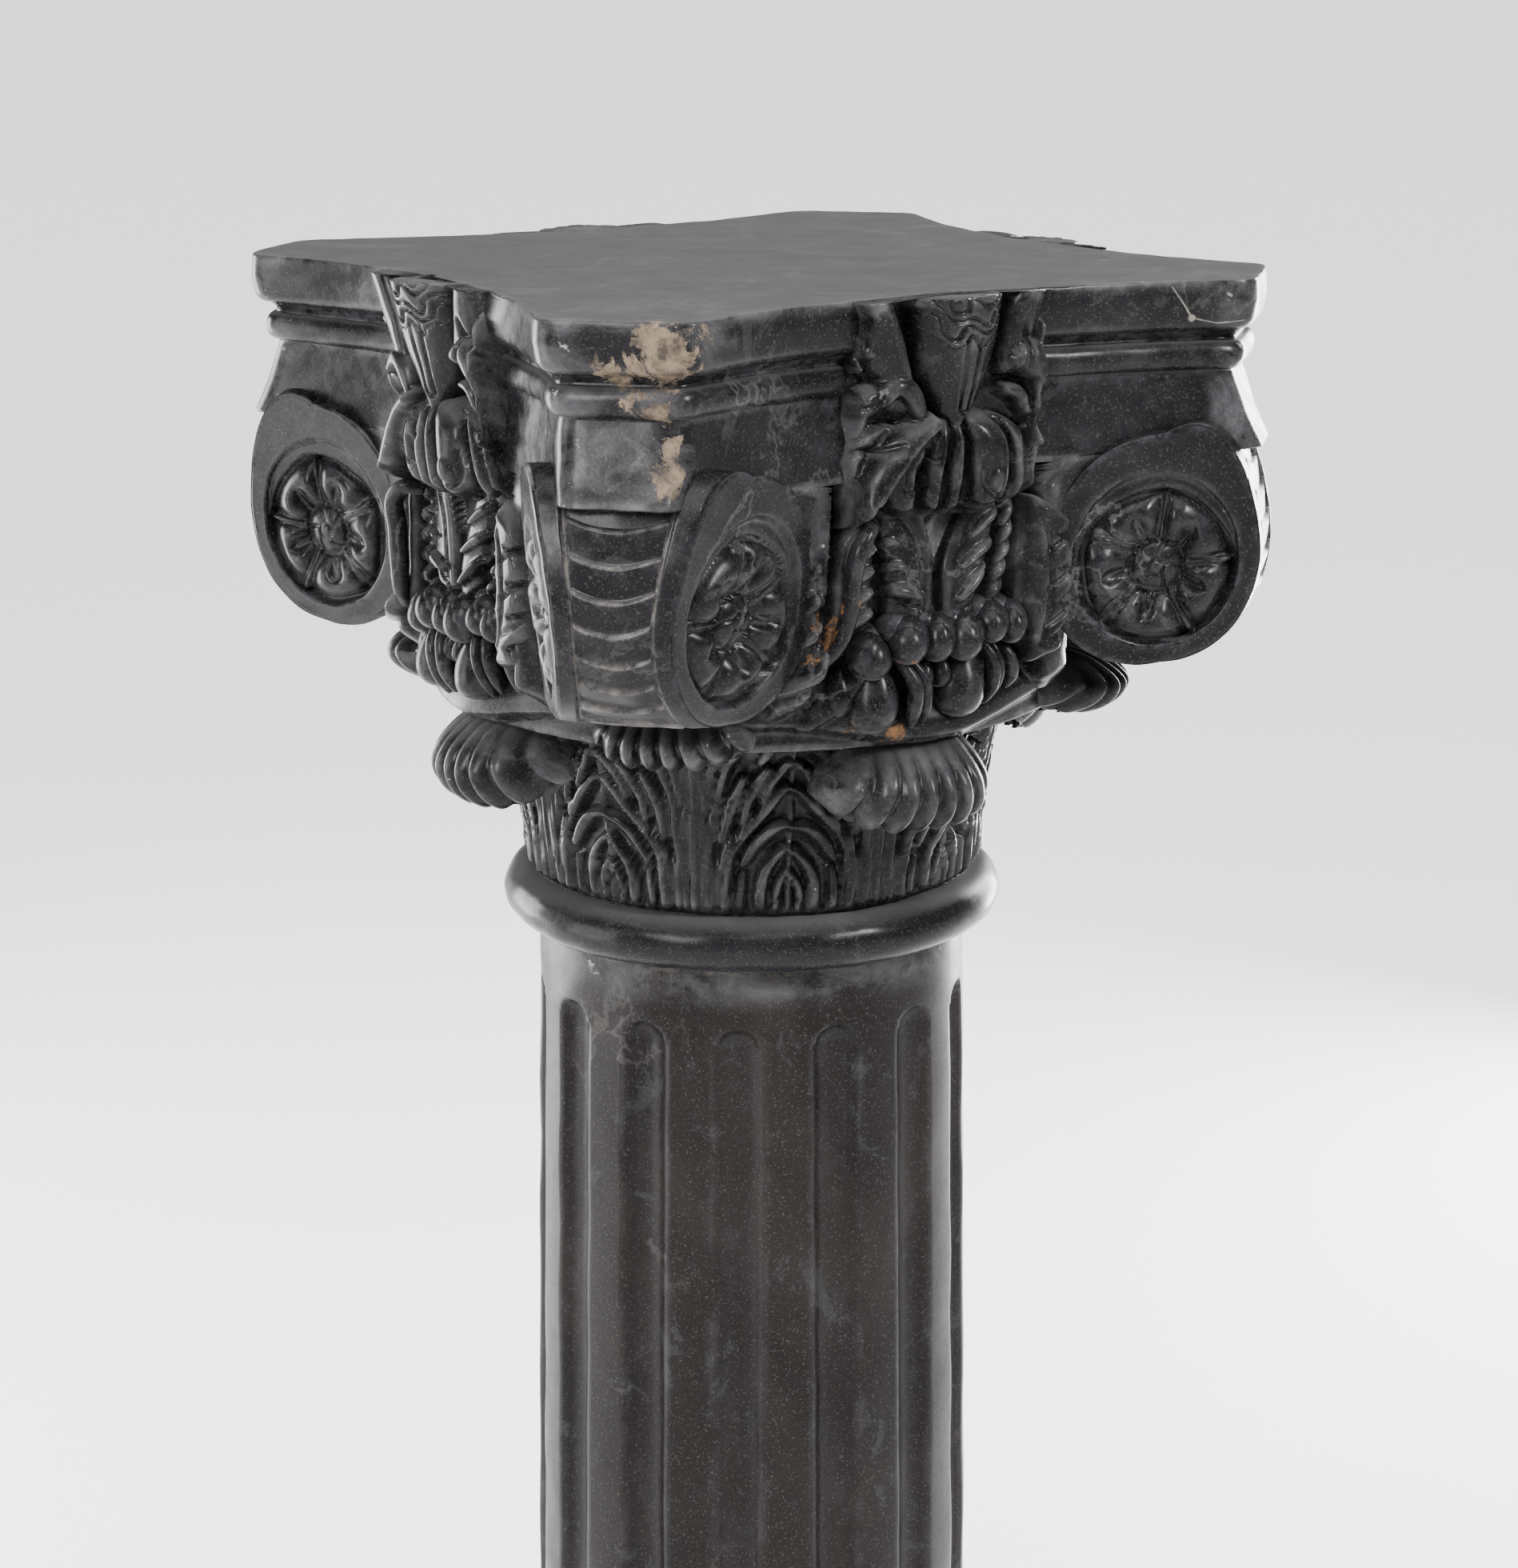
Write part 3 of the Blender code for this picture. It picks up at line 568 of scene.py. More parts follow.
def rosette_height(u, v):
    """Height of the rosette: five long and five short pointed leaves in the valleys of full petals."""
    r = np.hypot(u, v)
    turn = np.arctan2(v, u)
    fifth = math.tau / 5
    wander = 0.05 * np.sin(3 * turn + 1.0)
    local = np.mod(turn + wander - ROSETTE_TURN, fifth) - fifth / 2
    from_long = fifth / 2 - np.abs(local)
    from_short = np.abs(local)
    lobe = np.sin(np.pi / 2 * unit(np.minimum(from_long, from_short) / (fifth / 4))) ** 0.75
    whole = np.sin(np.pi / 2 * unit(from_long / (fifth / 2) * 1.6)) ** 0.65
    shape = lerp(lobe, whole, ease(0.58, 0.80, r))
    rise = np.sin(np.pi * unit((r - 0.27) / 0.79) ** 1.2) ** 0.9
    height = -8.8 + 10.6 * rise * lerp(0.22, 1.0, shape)
    for gap, length, crest in ((from_long, 1.04, -0.2), (from_short, 0.78, -1.4)):
        width = math.radians(16.5) * unit(1 - (r - 0.28) / (length - 0.28)) ** 0.95 + 1e-4
        leaf_height = crest - 2.6 * (1 - ease(0.3, 0.9, r)) - 3.4 * unit(gap / width)
        on_leaf = (gap < width) & (r > 0.30) & (r < length)
        height = np.where(on_leaf, np.maximum(leaf_height, height), height)
    button = unit(1 - (r / 0.35) ** 2) ** 0.5
    swirl = np.mod(turn + 2.2 * r, fifth) - fifth / 2
    creases = 1.5 * np.exp(-(swirl * np.maximum(r, 0.05) / 0.028) ** 2) * ease(0.08, 0.16, r)
    height = np.where(r < 0.35, -7.4 + 6.6 * button - creases, height)
    eye = np.exp(-((r - 0.10) / 0.022) ** 2) + np.exp(-((r - 0.36) / 0.02) ** 2)
    return height - 1.6 * eye


def scroll_face(turn, share):
    """Lift of the scroll's side face: flat rim, ledge, and the sunk rosette set low in it."""
    out, up = scroll_radii(turn)
    x = share * out * np.cos(turn) + 2.5
    z = share * up * np.sin(turn)
    u = x / ROSETTE_HALF_WIDTH
    v = (z + 5.5) / ROSETTE_HALF_HEIGHT
    r = np.hypot(u, v)
    rim = ease(0.98, 1.025, np.hypot(x / LEDGE_HALF_WIDTH, (z + 2.0) / LEDGE_HALF_HEIGHT))
    scallop = 0.022 * np.cos(5 * (np.arctan2(v, u) - ROSETTE_TURN))
    floor = lerp(rosette_height(u, v), -3.0, ease(0.985, 1.03, r - scallop))
    floor = floor - 2.2 * np.exp(-((r - scallop - 0.985) / 0.03) ** 2)
    edge = 0.9 * ease(0.985, 1.0, share) + 0.25 * np.sin(5 * turn + 2.0) * ease(0.93, 1.0, share)
    return lerp(floor, 0.0, rim) - edge


def build_scroll(carver, corner):
    """One corner scroll: two carved faces and the scaled band between them."""
    quarter = math.pi / 2
    turn = np.concatenate([np.linspace(-quarter, quarter, 132, endpoint=False),
                           np.linspace(quarter, 3 * quarter, 76, endpoint=False)])[None, :]
    shares = np.concatenate([np.linspace(0.02, 0.86, 46), np.linspace(0.88, 1.0, 7)])
    across = np.concatenate([np.linspace(*part) for part in (
        (-0.985, -0.74, 5), (-0.72, -0.60, 7), (-0.56, 0.56, 21), (0.60, 0.72, 7), (0.74, 0.985, 5))])
    rows = []
    chalk = []

    def add_face(face_shares, side):
        for share in face_shares:
            lift = scroll_face(turn, np.full_like(turn, share))
            rows.append(scroll_point(turn, share, side, lift)[0])
            chalk.append(0 * turn[0])

    add_face(shares, -1.0)
    front_half = np.abs(turn) < math.radians(86)
    row = np.arange(turn.shape[1])[None, :] % SCALE_ROWS
    scale = row / SCALE_ROWS
    arc_row = np.where(row == SCALE_ROWS - 1, 0.85, np.where(row == 0, 0.12, 0.0))
    for a in across:
        line = math.exp(-((abs(a) - PANEL_LINE) / 0.025) ** 2)
        panel = 1.0 if abs(a) < PANEL_EDGE else 0.0
        sag = 0.090 * panel * (1 - (a / PANEL_EDGE) ** 2) * ease(0.0, 0.21, quarter - np.abs(turn))
        step = 2.4 * scale ** 1.3
        cut = (2.0 * line + panel * (2.2 - step) + 0.12 * np.sin(9 * a + 5 * turn)) * front_half
        crown = 1.6 * (1 - a * a)
        rows.append(scroll_point(turn - sag, 1.0 + (crown - cut) / SCROLL_MEAN_RADIUS, a, 0.0)[0])
        arc = arc_row * panel
        broken = 0.75 + 0.25 * np.sin(7 * turn + 11 * a + corner)
        chalk.append((np.maximum(arc, 0.8 * line) * front_half * broken)[0])
    add_face(shares[::-1], 1.0)
    carver.grid(turned(np.array(rows), corner), around=True, capped=True, chalk=np.array(chalk))


# Curled leaves

LEAF_ROOT = 88.0
LEAF_STATIONS = 88
LEAF_RIBS = 8


def curled_leaf(reach, tip, fall, half_width, seed):
    """A leaf that rolls over outwards, with shell-like ribs and a scalloped lip."""
    outline = np.array((
        (0.00, -0.30), (0.20, -0.02), (0.42, 0.05), (0.62, 0.02), (0.80, -0.11), (0.93, -0.30),
        (1.00, -0.52), (0.985, -0.72), (0.92, -0.88), (0.82, -0.985), (0.76, -0.96), (0.78, -0.84),
        (0.74, -0.66), (0.56, -0.52), (0.32, -0.50), (0.08, -0.52),
    ))
    closed = np.concatenate([outline[-1:], outline, outline[:2]])
    section = smooth_path(closed, 18 * 5)[5:-5]
    out, down = section[:, 0], section[:, 1]
    place = np.linspace(0, 1, len(section))
    upper = 1 - ease(0.60, 0.66, place)
    strength = ease(0.16, 0.46, place) * upper
    fan = 0.58 + 0.42 * ease(0.08, 0.52, place)
    fan = np.where(place > 0.62, lerp(1.0, 0.62, ease(0.62, 1.0, place)), fan)
    rings = []
    for i in range(LEAF_STATIONS):
        across = lerp(-0.985, 0.985, i / (LEAF_STATIONS - 1))
        shrink = (1 - abs(across) ** 2.8) ** 0.5
        phase = (across + 1) / 2 * LEAF_RIBS + seed
        wave = phase - math.floor(phase)
        rib = (1 - abs(2 * wave ** 0.85 - 1) ** 1.8) ** 0.8
        grow = lerp(0.50, 1.0, shrink)
        lip = 1.0 - 0.10 * (1 - rib) * ease(0.30, 0.6, place) * upper
        x = across * half_width * fan
        depth = LEAF_ROOT + (reach - LEAF_ROOT) * out * grow * lip - 0.0022 * x ** 2
        z = tip + fall * down * grow * lip
        nx = np.gradient(z)
        nz = -np.gradient(depth)
        size = np.hypot(nx, nz) + 1e-9
        sink = 3.6 * (1 - rib) * strength
        rings.append(front(x, depth + sink * nx / size, z + sink * nz / size))
    return rings


# Side carving

def lens(x, z, start, end, half_width, height):
    """A small raised leaflet or vein from start to end."""
    middle = ((start[0] + end[0]) / 2, (start[1] + end[1]) / 2 + 0.6)
    return pad((start, middle, end), x, z, half_width, height, power=1.6, taper=0.25, steps=6)


def side_relief(x, z):
    """Leaves, stalks, stem and notch that lie low on the ground of one side."""
    relief = np.zeros_like(x)

    def raise_to(height):
        nonlocal relief
        relief = np.maximum(relief, height)

    # Broad leaves: curve, half width, height, lean, power and taper
    broad_leaves = (
        (((-13, 160), (-13, 178), (-14, 196), (-19, 222)), 14.5, 8.5, 0.0, 4.5, 0.7),
        (((9, 160), (12, 178), (19, 196), (31, 222)), 12.5, 9.5, -0.25, 3.0, 0.6),
        (((-37, 160), (-36.5, 180), (-34, 200), (-31, 216)), 8.0, 7.0, 0.0, 3.0, 0.7),
        (((68, 132), (62, 152), (58, 176), (57, 206)), 15.0, 13.0, 0.2, 3.0, 0.3),
        (((-70, 130), (-64, 154), (-60, 180), (-56, 212)), 9.5, 9.0, 0.2, 2.4, 0.3),
        (((-58, 126), (-49, 134), (-40, 143), (-34, 150)), 8.5, 11.0, -0.2, 2.2, 0.3),
    )
    for curve, half_width, height, lean, power, taper in broad_leaves:
        raise_to(pad(curve, x, z, half_width, height, lean, power, taper))
    # Leaflets and veins on them
    leaflets = (
        ((-31, 201), (-21, 202), 2.2, 3.4),
        ((-28, 191), (-17, 191), 2.4, 3.4),
        ((-27, 182), (-9, 178), 3.4, 4.2),
        ((12, 189), (29, 198), 3.0, 3.6),
        ((10, 175), (27, 187), 3.4, 4.0),
        ((17, 202), (34, 212), 2.6, 3.2),
        ((-67, 150), (-57, 158), 2.4, 3.0),
        ((-66, 163), (-55, 171), 2.4, 3.2),
        ((-65, 177), (-53, 185), 2.4, 3.2),
        ((-64, 191), (-51, 199), 2.4, 3.0),
    )
    for start, end, half_width, height in leaflets:
        relief = relief + lens(x, z, start, end, half_width, height)
    for low in (166, 175, 184, 193, 202):
        relief = relief + lens(x, z, (-43.5, low), (-31.5, low + 6.5), 3.6, 4.2)
    # Twisted stalk between deep cuts
    stalk_line = ((30, 172), (35.5, 188), (38.5, 203), (38, 222))
    share, off = along(smooth_path(stalk_line, 24), x, z)
    twist = np.abs(np.sin(math.pi * (share * 6.0 + off / 11.0)))
    stalk = unit(1 - (np.abs(off) / (5.4 + 0.9 * twist)) ** 2.4) ** 0.55
    raise_to(stalk * (8.0 + 3.6 * twist ** 0.6) * (share < 0.995))
    # Bent stem at the left, with its hook
    stem_line = ((-35, 210), (-41, 208), (-45.5, 201), (-47, 188), (-48, 174), (-53, 160), (-63, 149),
                 (-76, 143))
    raise_to(pad(stem_line, x, z, 5.6, 15.5, lean=-0.25, taper=0.35, steps=36))
    # Midribs, and cuts that fall into shadow
    cuts = (
        (((-23, 216), (-13, 206), (-8.5, 192), (-7.5, 168)), 0.9, 2.0),
        (((-30.5, 214), (-28, 198), (-27, 182), (-26.5, 166)), 1.3, 8.0),
        (((-37, 208), (-41, 200), (-42.5, 188), (-43, 174), (-47, 160), (-57, 148)), 1.5, 9.0),
        (((2, 196), (1.5, 184), (2, 168)), 1.5, 6.0),
        (((-19, 176), (-12, 173), (-8, 172)), 0.9, 3.0),
        (((24, 176), (17, 171), (11, 166)), 0.9, 3.0),
        (((31, 212), (29, 199), (25, 186), (21, 172)), 1.0, 3.0),
        (((25, 173), (29.5, 188), (33, 203), (33, 218)), 1.5, 8.0),
        (((36.5, 168), (41, 186), (44, 203), (43.5, 218)), 1.6, 9.0),
        (((-64, 150), (-60, 166), (-58, 184), (-55, 204)), 1.0, 2.6),
        (((72, 150), (70, 168), (69, 190)), 1.4, 4.0),
    )
    relief = cut_in(relief, cuts, x, z)
    notch = unit(1 - np.abs(x - 2) / np.maximum(0.36 * (z - 187), 0.01)) * (z > 187)
    relief = relief - (relief + 3.0) * ease(0.0, 0.22, notch)
    # Bowl that the drops hang in
    rim = 119.5 - 5.0 * np.cos(math.pi * np.clip(x / 70.0, -1, 1))
    bowl = 7.5 * ease(rim - 5, rim + 1.5, z) * (1 - ease(rim + 5, rim + 24, z))
    web = 12.0 * ease(50, 62, np.abs(x)) * ease(126, 140, z)
    return np.maximum(relief + web, bowl)


def fleuron_relief(x, z):
    """Drooping flower, with folded leaves at both sides of it and of the bud above."""
    leaves_beside = (
        # Left folded leaf, its inner plane and the curls under it
        (((-44, 311), (-39, 296), (-33, 283), (-26, 271)), 11.5, 12.0, 0.25),
        (((-48.5, 309), (-48, 294), (-46, 278)), 3.2, 11.0, 0.0),
        (((-47, 286), (-40, 283), (-31, 277)), 3.4, 9.5, 0.2),
        (((-36, 265), (-29, 270), (-21, 265), (-15, 254)), 7.5, 14.5, -0.2),
        (((-52, 247), (-44, 259), (-34, 263), (-24, 259)), 9.0, 10.5, 0.3),
        (((-53, 214), (-49, 231), (-42, 243), (-31, 250)), 7.5, 8.0, 0.35),
        # Right leaf, its bulb, drop and stem
        (((49, 309), (47, 295), (44.5, 280)), 3.4, 11.5, 0.0),
        (((40, 311), (35, 294), (29, 276)), 10.5, 10.5, -0.25),
        (((31, 277), (37, 278), (44, 271)), 9.5, 15.0, 0.0),
        (((43, 271), (46.5, 259), (45.5, 242)), 6.0, 14.0, 0.2),
        (((28, 264), (35, 262), (41, 254)), 4.5, 11.0, 0.0),
        (((42, 247), (45.5, 231), (47.5, 213)), 3.6, 10.0, 0.0),
    )
    relief = raised(np.zeros_like(x), leaves_beside, x, z, taper=0.45)
    mass = unit(1 - np.abs((x - 3) / 42.0) ** 2.4 - np.abs((z - 232) / 24.5) ** 2.6) ** 0.42
    petals = (
        (((-9, 256), (-20, 243), (-25, 229), (-22, 212)), 8.0, 8.4, 0.1),
        (((-3, 256), (-7.5, 243), (-10.5, 230), (-10, 211)), 5.4, 7.4, 0.2),
        (((2, 256), (2, 243), (0.8, 229), (0.5, 211)), 4.0, 7.0, 0.0),
        (((11, 256), (18, 246), (20, 232), (19, 211)), 11.5, 9.4, -0.1),
        (((24, 254), (34, 246), (38, 232), (41, 211)), 4.8, 6.4, -0.2),
    )
    folds = raised(np.zeros_like(x), petals, x, z, power=2.0, taper=0.5)
    relief = np.maximum(relief, mass * (9.5 + folds))
    left_petal = ((((-13, 254), (-25, 246), (-37, 231), (-48, 213)), 8.6, 20.0, 0.25),)
    relief = raised(relief, left_petal, x, z, power=2.0, taper=0.4)
    cuts = (
        (((-7, 255), (-13.5, 243), (-17, 229), (-15.5, 213)), 1.1, 4.0),
        (((-1, 255), (-3, 243), (-5, 229), (-5.5, 212)), 1.1, 4.0),
        (((4.5, 255), (6, 243), (6.5, 229), (6.5, 212)), 1.2, 4.5),
        (((20, 254), (29, 245), (31.5, 231), (32.5, 213)), 1.2, 4.5),
        (((-26, 236), (-24.5, 226), (-20, 226), (-19, 236)), 0.9, 3.0),
        (((-17, 247), (-13, 240), (-9, 238), (-8, 246)), 0.9, 3.0),
        (((13, 235), (14, 225), (21, 220), (27, 225), (27, 236)), 0.9, 3.0),
        (((-14, 236), (-15, 226), (-17, 216)), 0.8, 3.0),
        (((27, 251), (30, 238), (32, 224), (33, 213)), 1.0, 4.0),
        (((-50, 268), (-42, 262), (-36, 268)), 1.0, 3.0),
        (((-52, 240), (-44, 244), (-36, 243), (-28, 246)), 1.3, 4.0),
        (((-43, 296), (-45, 284), (-44, 274)), 0.9, 2.6),
        (((33, 292), (36, 284), (35, 276)), 1.2, 4.0),
        (((40, 262), (41.5, 250), (40, 238)), 1.1, 3.5),
    )
    relief = cut_in(relief, cuts, x, z)
    bulb = ((x - 20) / 4.6) ** 2 + ((z - 225) / 7.0) ** 2
    relief = relief + 1.8 * unit(1 - bulb) ** 0.5
    return relief


def side_ground(carver, turn):
    """Ground of one side between the scrolls."""
    xs = np.linspace(-88, 88, 172)
    x, z = np.meshgrid(xs, np.linspace(112, 217, 101))
    depth = np.sqrt(148.0 ** 2 - x ** 2) - 4.0
    surface = front(x, depth + side_relief(x, z), z)
    back = front(xs, np.full_like(xs, 115.0), np.full_like(xs, 112.0))[None]
    top = front(xs, np.full_like(xs, 115.0), np.full_like(xs, 217.0))[None]
    carver.grid(turned(np.concatenate([back, surface, top]), turn))


def build_fleuron(carver, turn):
    """Block in the middle of the slab's side, carved with the flower and its leaves."""
    around = np.linspace(-1, 1, 108)[None, :]
    share = np.linspace(0, 1, 98)[:, None]
    ends = np.array(((-48.0, 7.0), (-23.0, 9.0), (-9.0, 5.5), (1.0, 4.5), (18.5, 12.5), (38.0, 7.0)))
    reach = np.min(np.abs(49.5 * around[..., None] - ends[:, 0]) / ends[:, 1], axis=-1)
    z = lerp(305.6, 209.5 + 5.5 * unit(reach) ** 2.0, share)
    half = 49.5 + 1.2 * np.sin(z / 6.0) + 0.9 * np.sin(z / 2.7 + 1.0)
    x = half * around
    ground = lerp(157.0, 148.0, share ** 0.8)
    edge = unit((1 - np.abs(around)) / 0.10) ** 0.5
    foot = unit((1 - share) / 0.08) ** 0.5
    depth = 138.0 + (ground - 138.0 + fleuron_relief(x, z)) * edge * lerp(0.40, 1.0, foot)
    body = front(x, depth, z)
    back = front(0 * share, 0 * share + 132.0, z[:, :1])
    carver.grid(turned(np.concatenate([body, back], axis=1)[::-1], turn), around=True, capped=True)


def build_bud(carver, turn):
    """Pointed bud in the middle of the slab, with nested wandering cuts and a stem loop."""
    share = np.linspace(0, 1, 66)[:, None]
    half = 22.5 * (1 - share ** 2.3) ** 0.60 + 0.6
    around = np.linspace(0, math.pi, 72)[None, :]
    face = lerp(176.5, 163.0, share)
    x = -half * np.cos(around) + 2.0 * share
    z = lerp(305.6, 250.5, share) + 0 * x
    bulge = np.sin(around) ** 0.55
    wander = 1.9 * np.sin(0.36 * x + 1.0) + 1.3 * np.sin(0.5 * z + 0.2 * x)
    d = np.hypot((x - 3.0) / 1.9, (z - 309.0) * 0.85) + wander
    rings = np.exp(-((np.mod(d, 4.4) - 2.2) / 0.80) ** 2) * (d < 19.5) * (x > -17)
    line = np.abs(x - 4.4)
    stem = np.exp(-((line - 2.4 - 0.05 * (z - 259)) / 0.75) ** 2) * (z < 288) * (z > 259)
    loop = np.exp(-((np.hypot(x - 4.4, z - 259) - 2.4) / 0.75) ** 2) * (z <= 259)
    lobe = 1.4 * np.exp(-((x + 9) / 7.0) ** 2) * ease(262, 285, z)
    depth = 146.0 + (face - 146.0) * bulge + lobe - 2.6 * rings - 2.8 * np.maximum(stem, loop)
    body = front(x, depth, z)
    back = front(0 * share + 2.0, 0 * share + 140.0, z[:, :1])
    carver.grid(turned(np.concatenate([body, back], axis=1)[::-1], turn), around=True, capped=True)


def drop(centre, half_width, low, high, deep):
    """A hanging drop: narrow above, full below, with a blunt point."""
    share = np.linspace(0.02, 0.98, 18)[:, None]
    turn = full_turn(24)[None, :]
    swell = np.sin(math.pi * share ** 0.72) ** 0.5 * (1.0 - 0.18 * share)
    flat = 1.0 - 0.18 * np.abs(np.cos(turn)) ** 3
    x = centre[0] + half_width * swell * np.cos(turn) + 1.6 * (share - 0.5)
    depth = centre[1] + deep * swell * np.sin(turn) * flat
    return front(x, depth, lerp(low, high, share) + 0 * turn)


def build_edge_leaf(carver, turn):
    """Large leaf beside the flower's stalk, over the scroll's rim, with a scalloped right edge."""
    share = np.linspace(0, 1, 80)[:, None]
    t = np.linspace(-1, 1, 34)[None, :]
    slope = ((t + 1) / 2) ** 2
    z = lerp(217.0 - 10.0 * slope, 142.0 + 4.0 * slope, share)
    lobes = np.abs(np.sin(math.pi * (share * 4.6 + 0.15))) ** 0.55
    full = np.sin(math.pi * unit(share * 0.86 + 0.12)) ** 0.45
    left = 43.5 - 1.5 * np.sin(math.pi * share)
    right = 50.5 + 14.5 * full + 6.0 * lobes
    x = lerp(left, right, (t + 1) / 2)
    round_off = unit(1 - np.abs(t) ** 6.0) ** 0.5
    ends = unit(np.minimum(share, 1 - share) / 0.07) ** 0.5
    rise = np.sin(math.pi / 2 * unit((t + 1) / 0.75)) ** 0.55
    depth = 139.0 + 20.0 * np.minimum(rise, round_off) * lerp(0.55, 1.0, ends)
    depth = depth - 2.0 * (1 - lobes) * ease(0.2, 0.9, t) * round_off
    veins = []
    for low in (203.5, 187.0, 171.0, 154.5):
        veins.append((((54, low - 11), (62, low - 7), (72, low)), 1.0, 2.4))
    veins.append((((49, 213), (55, 195), (56, 174), (50, 152)), 1.3, 1.8))
    depth = cut_in(depth, veins, x, z)
    body = front(x, depth, z)
    back_left = front(left, 0 * share + 136.0, z[:, :1])
    back_right = front(right - 3.0, 0 * share + 140.0, z[:, -1:])
    ring = np.concatenate([back_left[:, 0:1], body, back_right[:, 0:1]], axis=1)
    carver.grid(turned(ring[::-1], turn), around=True, capped=True)


def build_side(carver, turn):
    """All the carving of one side above the curled leaf."""
    side_ground(carver, turn)
    build_fleuron(carver, turn)
    build_bud(carver, turn)
    build_edge_leaf(carver, turn)
    eggs = ((-32.5, 153.5, 8.4, 9.6, -1), (-17.0, 159.0, 8.8, 9.6, 1), (-2.0, 158.5, 7.2, 9.8, 1),
            (11.5, 158.0, 8.0, 10.0, 1), (27.0, 162.0, 7.6, 8.6, 1), (38.5, 161.0, 6.2, 8.8, 1))
    for k, (x, z, across, tall, hand_side) in enumerate(eggs):
        depth = math.sqrt(154.5 ** 2 - x * x) + (0.8 if k % 2 else -0.6)
        carver.solid(ball((x, depth, z), across, 9.5, tall, lean=0.12), turn, 0.2)
        hood = (x + 1.5 * hand_side, depth - 1.8, z + 0.9)
        carver.solid(ball(hood, across + 0.9, 9.6, tall + 0.8, segments=22, rows=12), turn, 0.2)
        crest = (x - 2.5 * hand_side, depth - 6.5, z + 5.2)
        carver.solid(ball(crest, across + 1.0, 8.0, tall - 1.5, segments=18, rows=10), turn, 0.5)
    drops = (
        ((-28.5, 144.0), 13.2, 119.5, 153.0, 15.0),
        ((14.0, 147.0), 13.6, 122.0, 155.0, 14.0),
        ((-6.5, 149.0), 5.6, 135.5, 152.0, 8.5),
        ((2.8, 149.0), 5.2, 136.5, 152.0, 8.0),
        ((-44.0, 141.0), 8.0, 128.0, 150.0, 9.0),
    )
    for sizes in drops:
        carver.solid(drop(*sizes), turn, 0.2)
    flaps = (
        (((-20, 152, 152), (-14.5, 157, 141), (-13, 155, 131), (-11.5, 149, 121)), 3.4, 4.2),
        (((-16, 150, 153), (-9.5, 155, 143), (-7, 154, 132), (-5.5, 148, 122)), 3.2, 4.2),
        (((21, 150, 157), (26, 155, 147), (28, 153, 136), (27, 147, 127)), 2.6, 4.4),
        (((25, 147, 158), (30, 152, 148), (32, 150, 137), (31, 144, 128)), 2.3, 4.4),
        (((36, 143, 152), (41, 147, 145), (43, 145, 137), (41, 140, 130)), 3.4, 4.4),
    )
    for points, half_width, thickness in flaps:
        carver.solid(blade(points, half_width, thickness, steps=24, sides=16, pinch=0.4), turn, 0.4)
    hook = ((-34, 150, 209), (-39, 158, 210), (-45, 160, 202), (-46.5, 158, 190), (-47.5, 157, 176),
            (-52, 154, 162), (-60, 148, 151))
    carver.solid(blade(hook, 4.0, 4.6, steps=44, sides=18, pinch=0.35, tip=0.25), turn, 0.4)


# Shaft and base

FLUTE_COUNT = 14
COLUMNS_PER_FLUTE = 24
FLUTE_WIDTH = 21.5
FLUTE_DEPTH = 6.5
FLUTE_MARGIN = 27.7
FLUTE_TURN = math.radians(3.79)
NECK_RADIUS = 100.0
FOOT_RADIUS = 108.0
FOOT_FLARE = 6.0


def build_shaft(carver):
    """Fluted shaft, with arched flute ends top and bottom."""
    low = (shaft_box[0][2] - JOINT) / MM
    high = (shaft_box[1][2] - JOINT) / MM
    half = FLUTE_WIDTH / 2
    top, bottom = high - FLUTE_MARGIN, low + FLUTE_MARGIN
    arch = 1 - np.cos(np.linspace(0, math.pi / 2, 16))
    heights = np.concatenate([
        [high, high - 1.0], np.linspace(high - 3, top + 1.0, 5), top + 0.4 - (half + 0.4) * arch,
        np.linspace(top - half, bottom + half, 40)[1:-1], (bottom - 0.4 + (half + 0.4) * arch)[::-1],
        np.linspace(bottom - 1, low + 14, 4), low + 14 * np.linspace(1, 0, 12)[1:],
    ])
    pitch = math.tau / FLUTE_COUNT
    local = np.linspace(-0.5, 0.5, COLUMNS_PER_FLUTE, endpoint=False)
    spread = np.sign(local) * (np.abs(local * 2) ** 1.15) / 2
    turn = (FLUTE_TURN + (np.arange(FLUTE_COUNT)[:, None] + spread[None, :]) * pitch).reshape(1, -1)
    off = np.tile(spread * pitch, FLUTE_COUNT)[None, :]
    z = heights[:, None]
    share = (high - z) / (high - low)
    radius = NECK_RADIUS + (FOOT_RADIUS - NECK_RADIUS) * np.sin(share * math.pi / 2)
    above_flare = unit((z - low - 3) / 11.0)
    radius = radius + FOOT_FLARE * (1 - np.sqrt(unit(1 - (1 - above_flare) ** 2)))
    reach = np.abs(off) * radius
    past = np.maximum(np.maximum(z - (top - half), (bottom + half) - z), 0.0)
    distance = np.hypot(reach, past)
    inside = unit(1 - (distance / half) ** 2)
    cut = FLUTE_DEPTH * inside ** 0.62
    top_round = unit(1 - (high - z)) ** 2
    points = about_axis(radius - cut - top_round, turn, z)
    carver.grid(points[::-1], around=True, capped=True, wear_and_sheen_weight=0.3)


PLINTH_HALF = 155.0
PLINTH_HEIGHT = 46.0


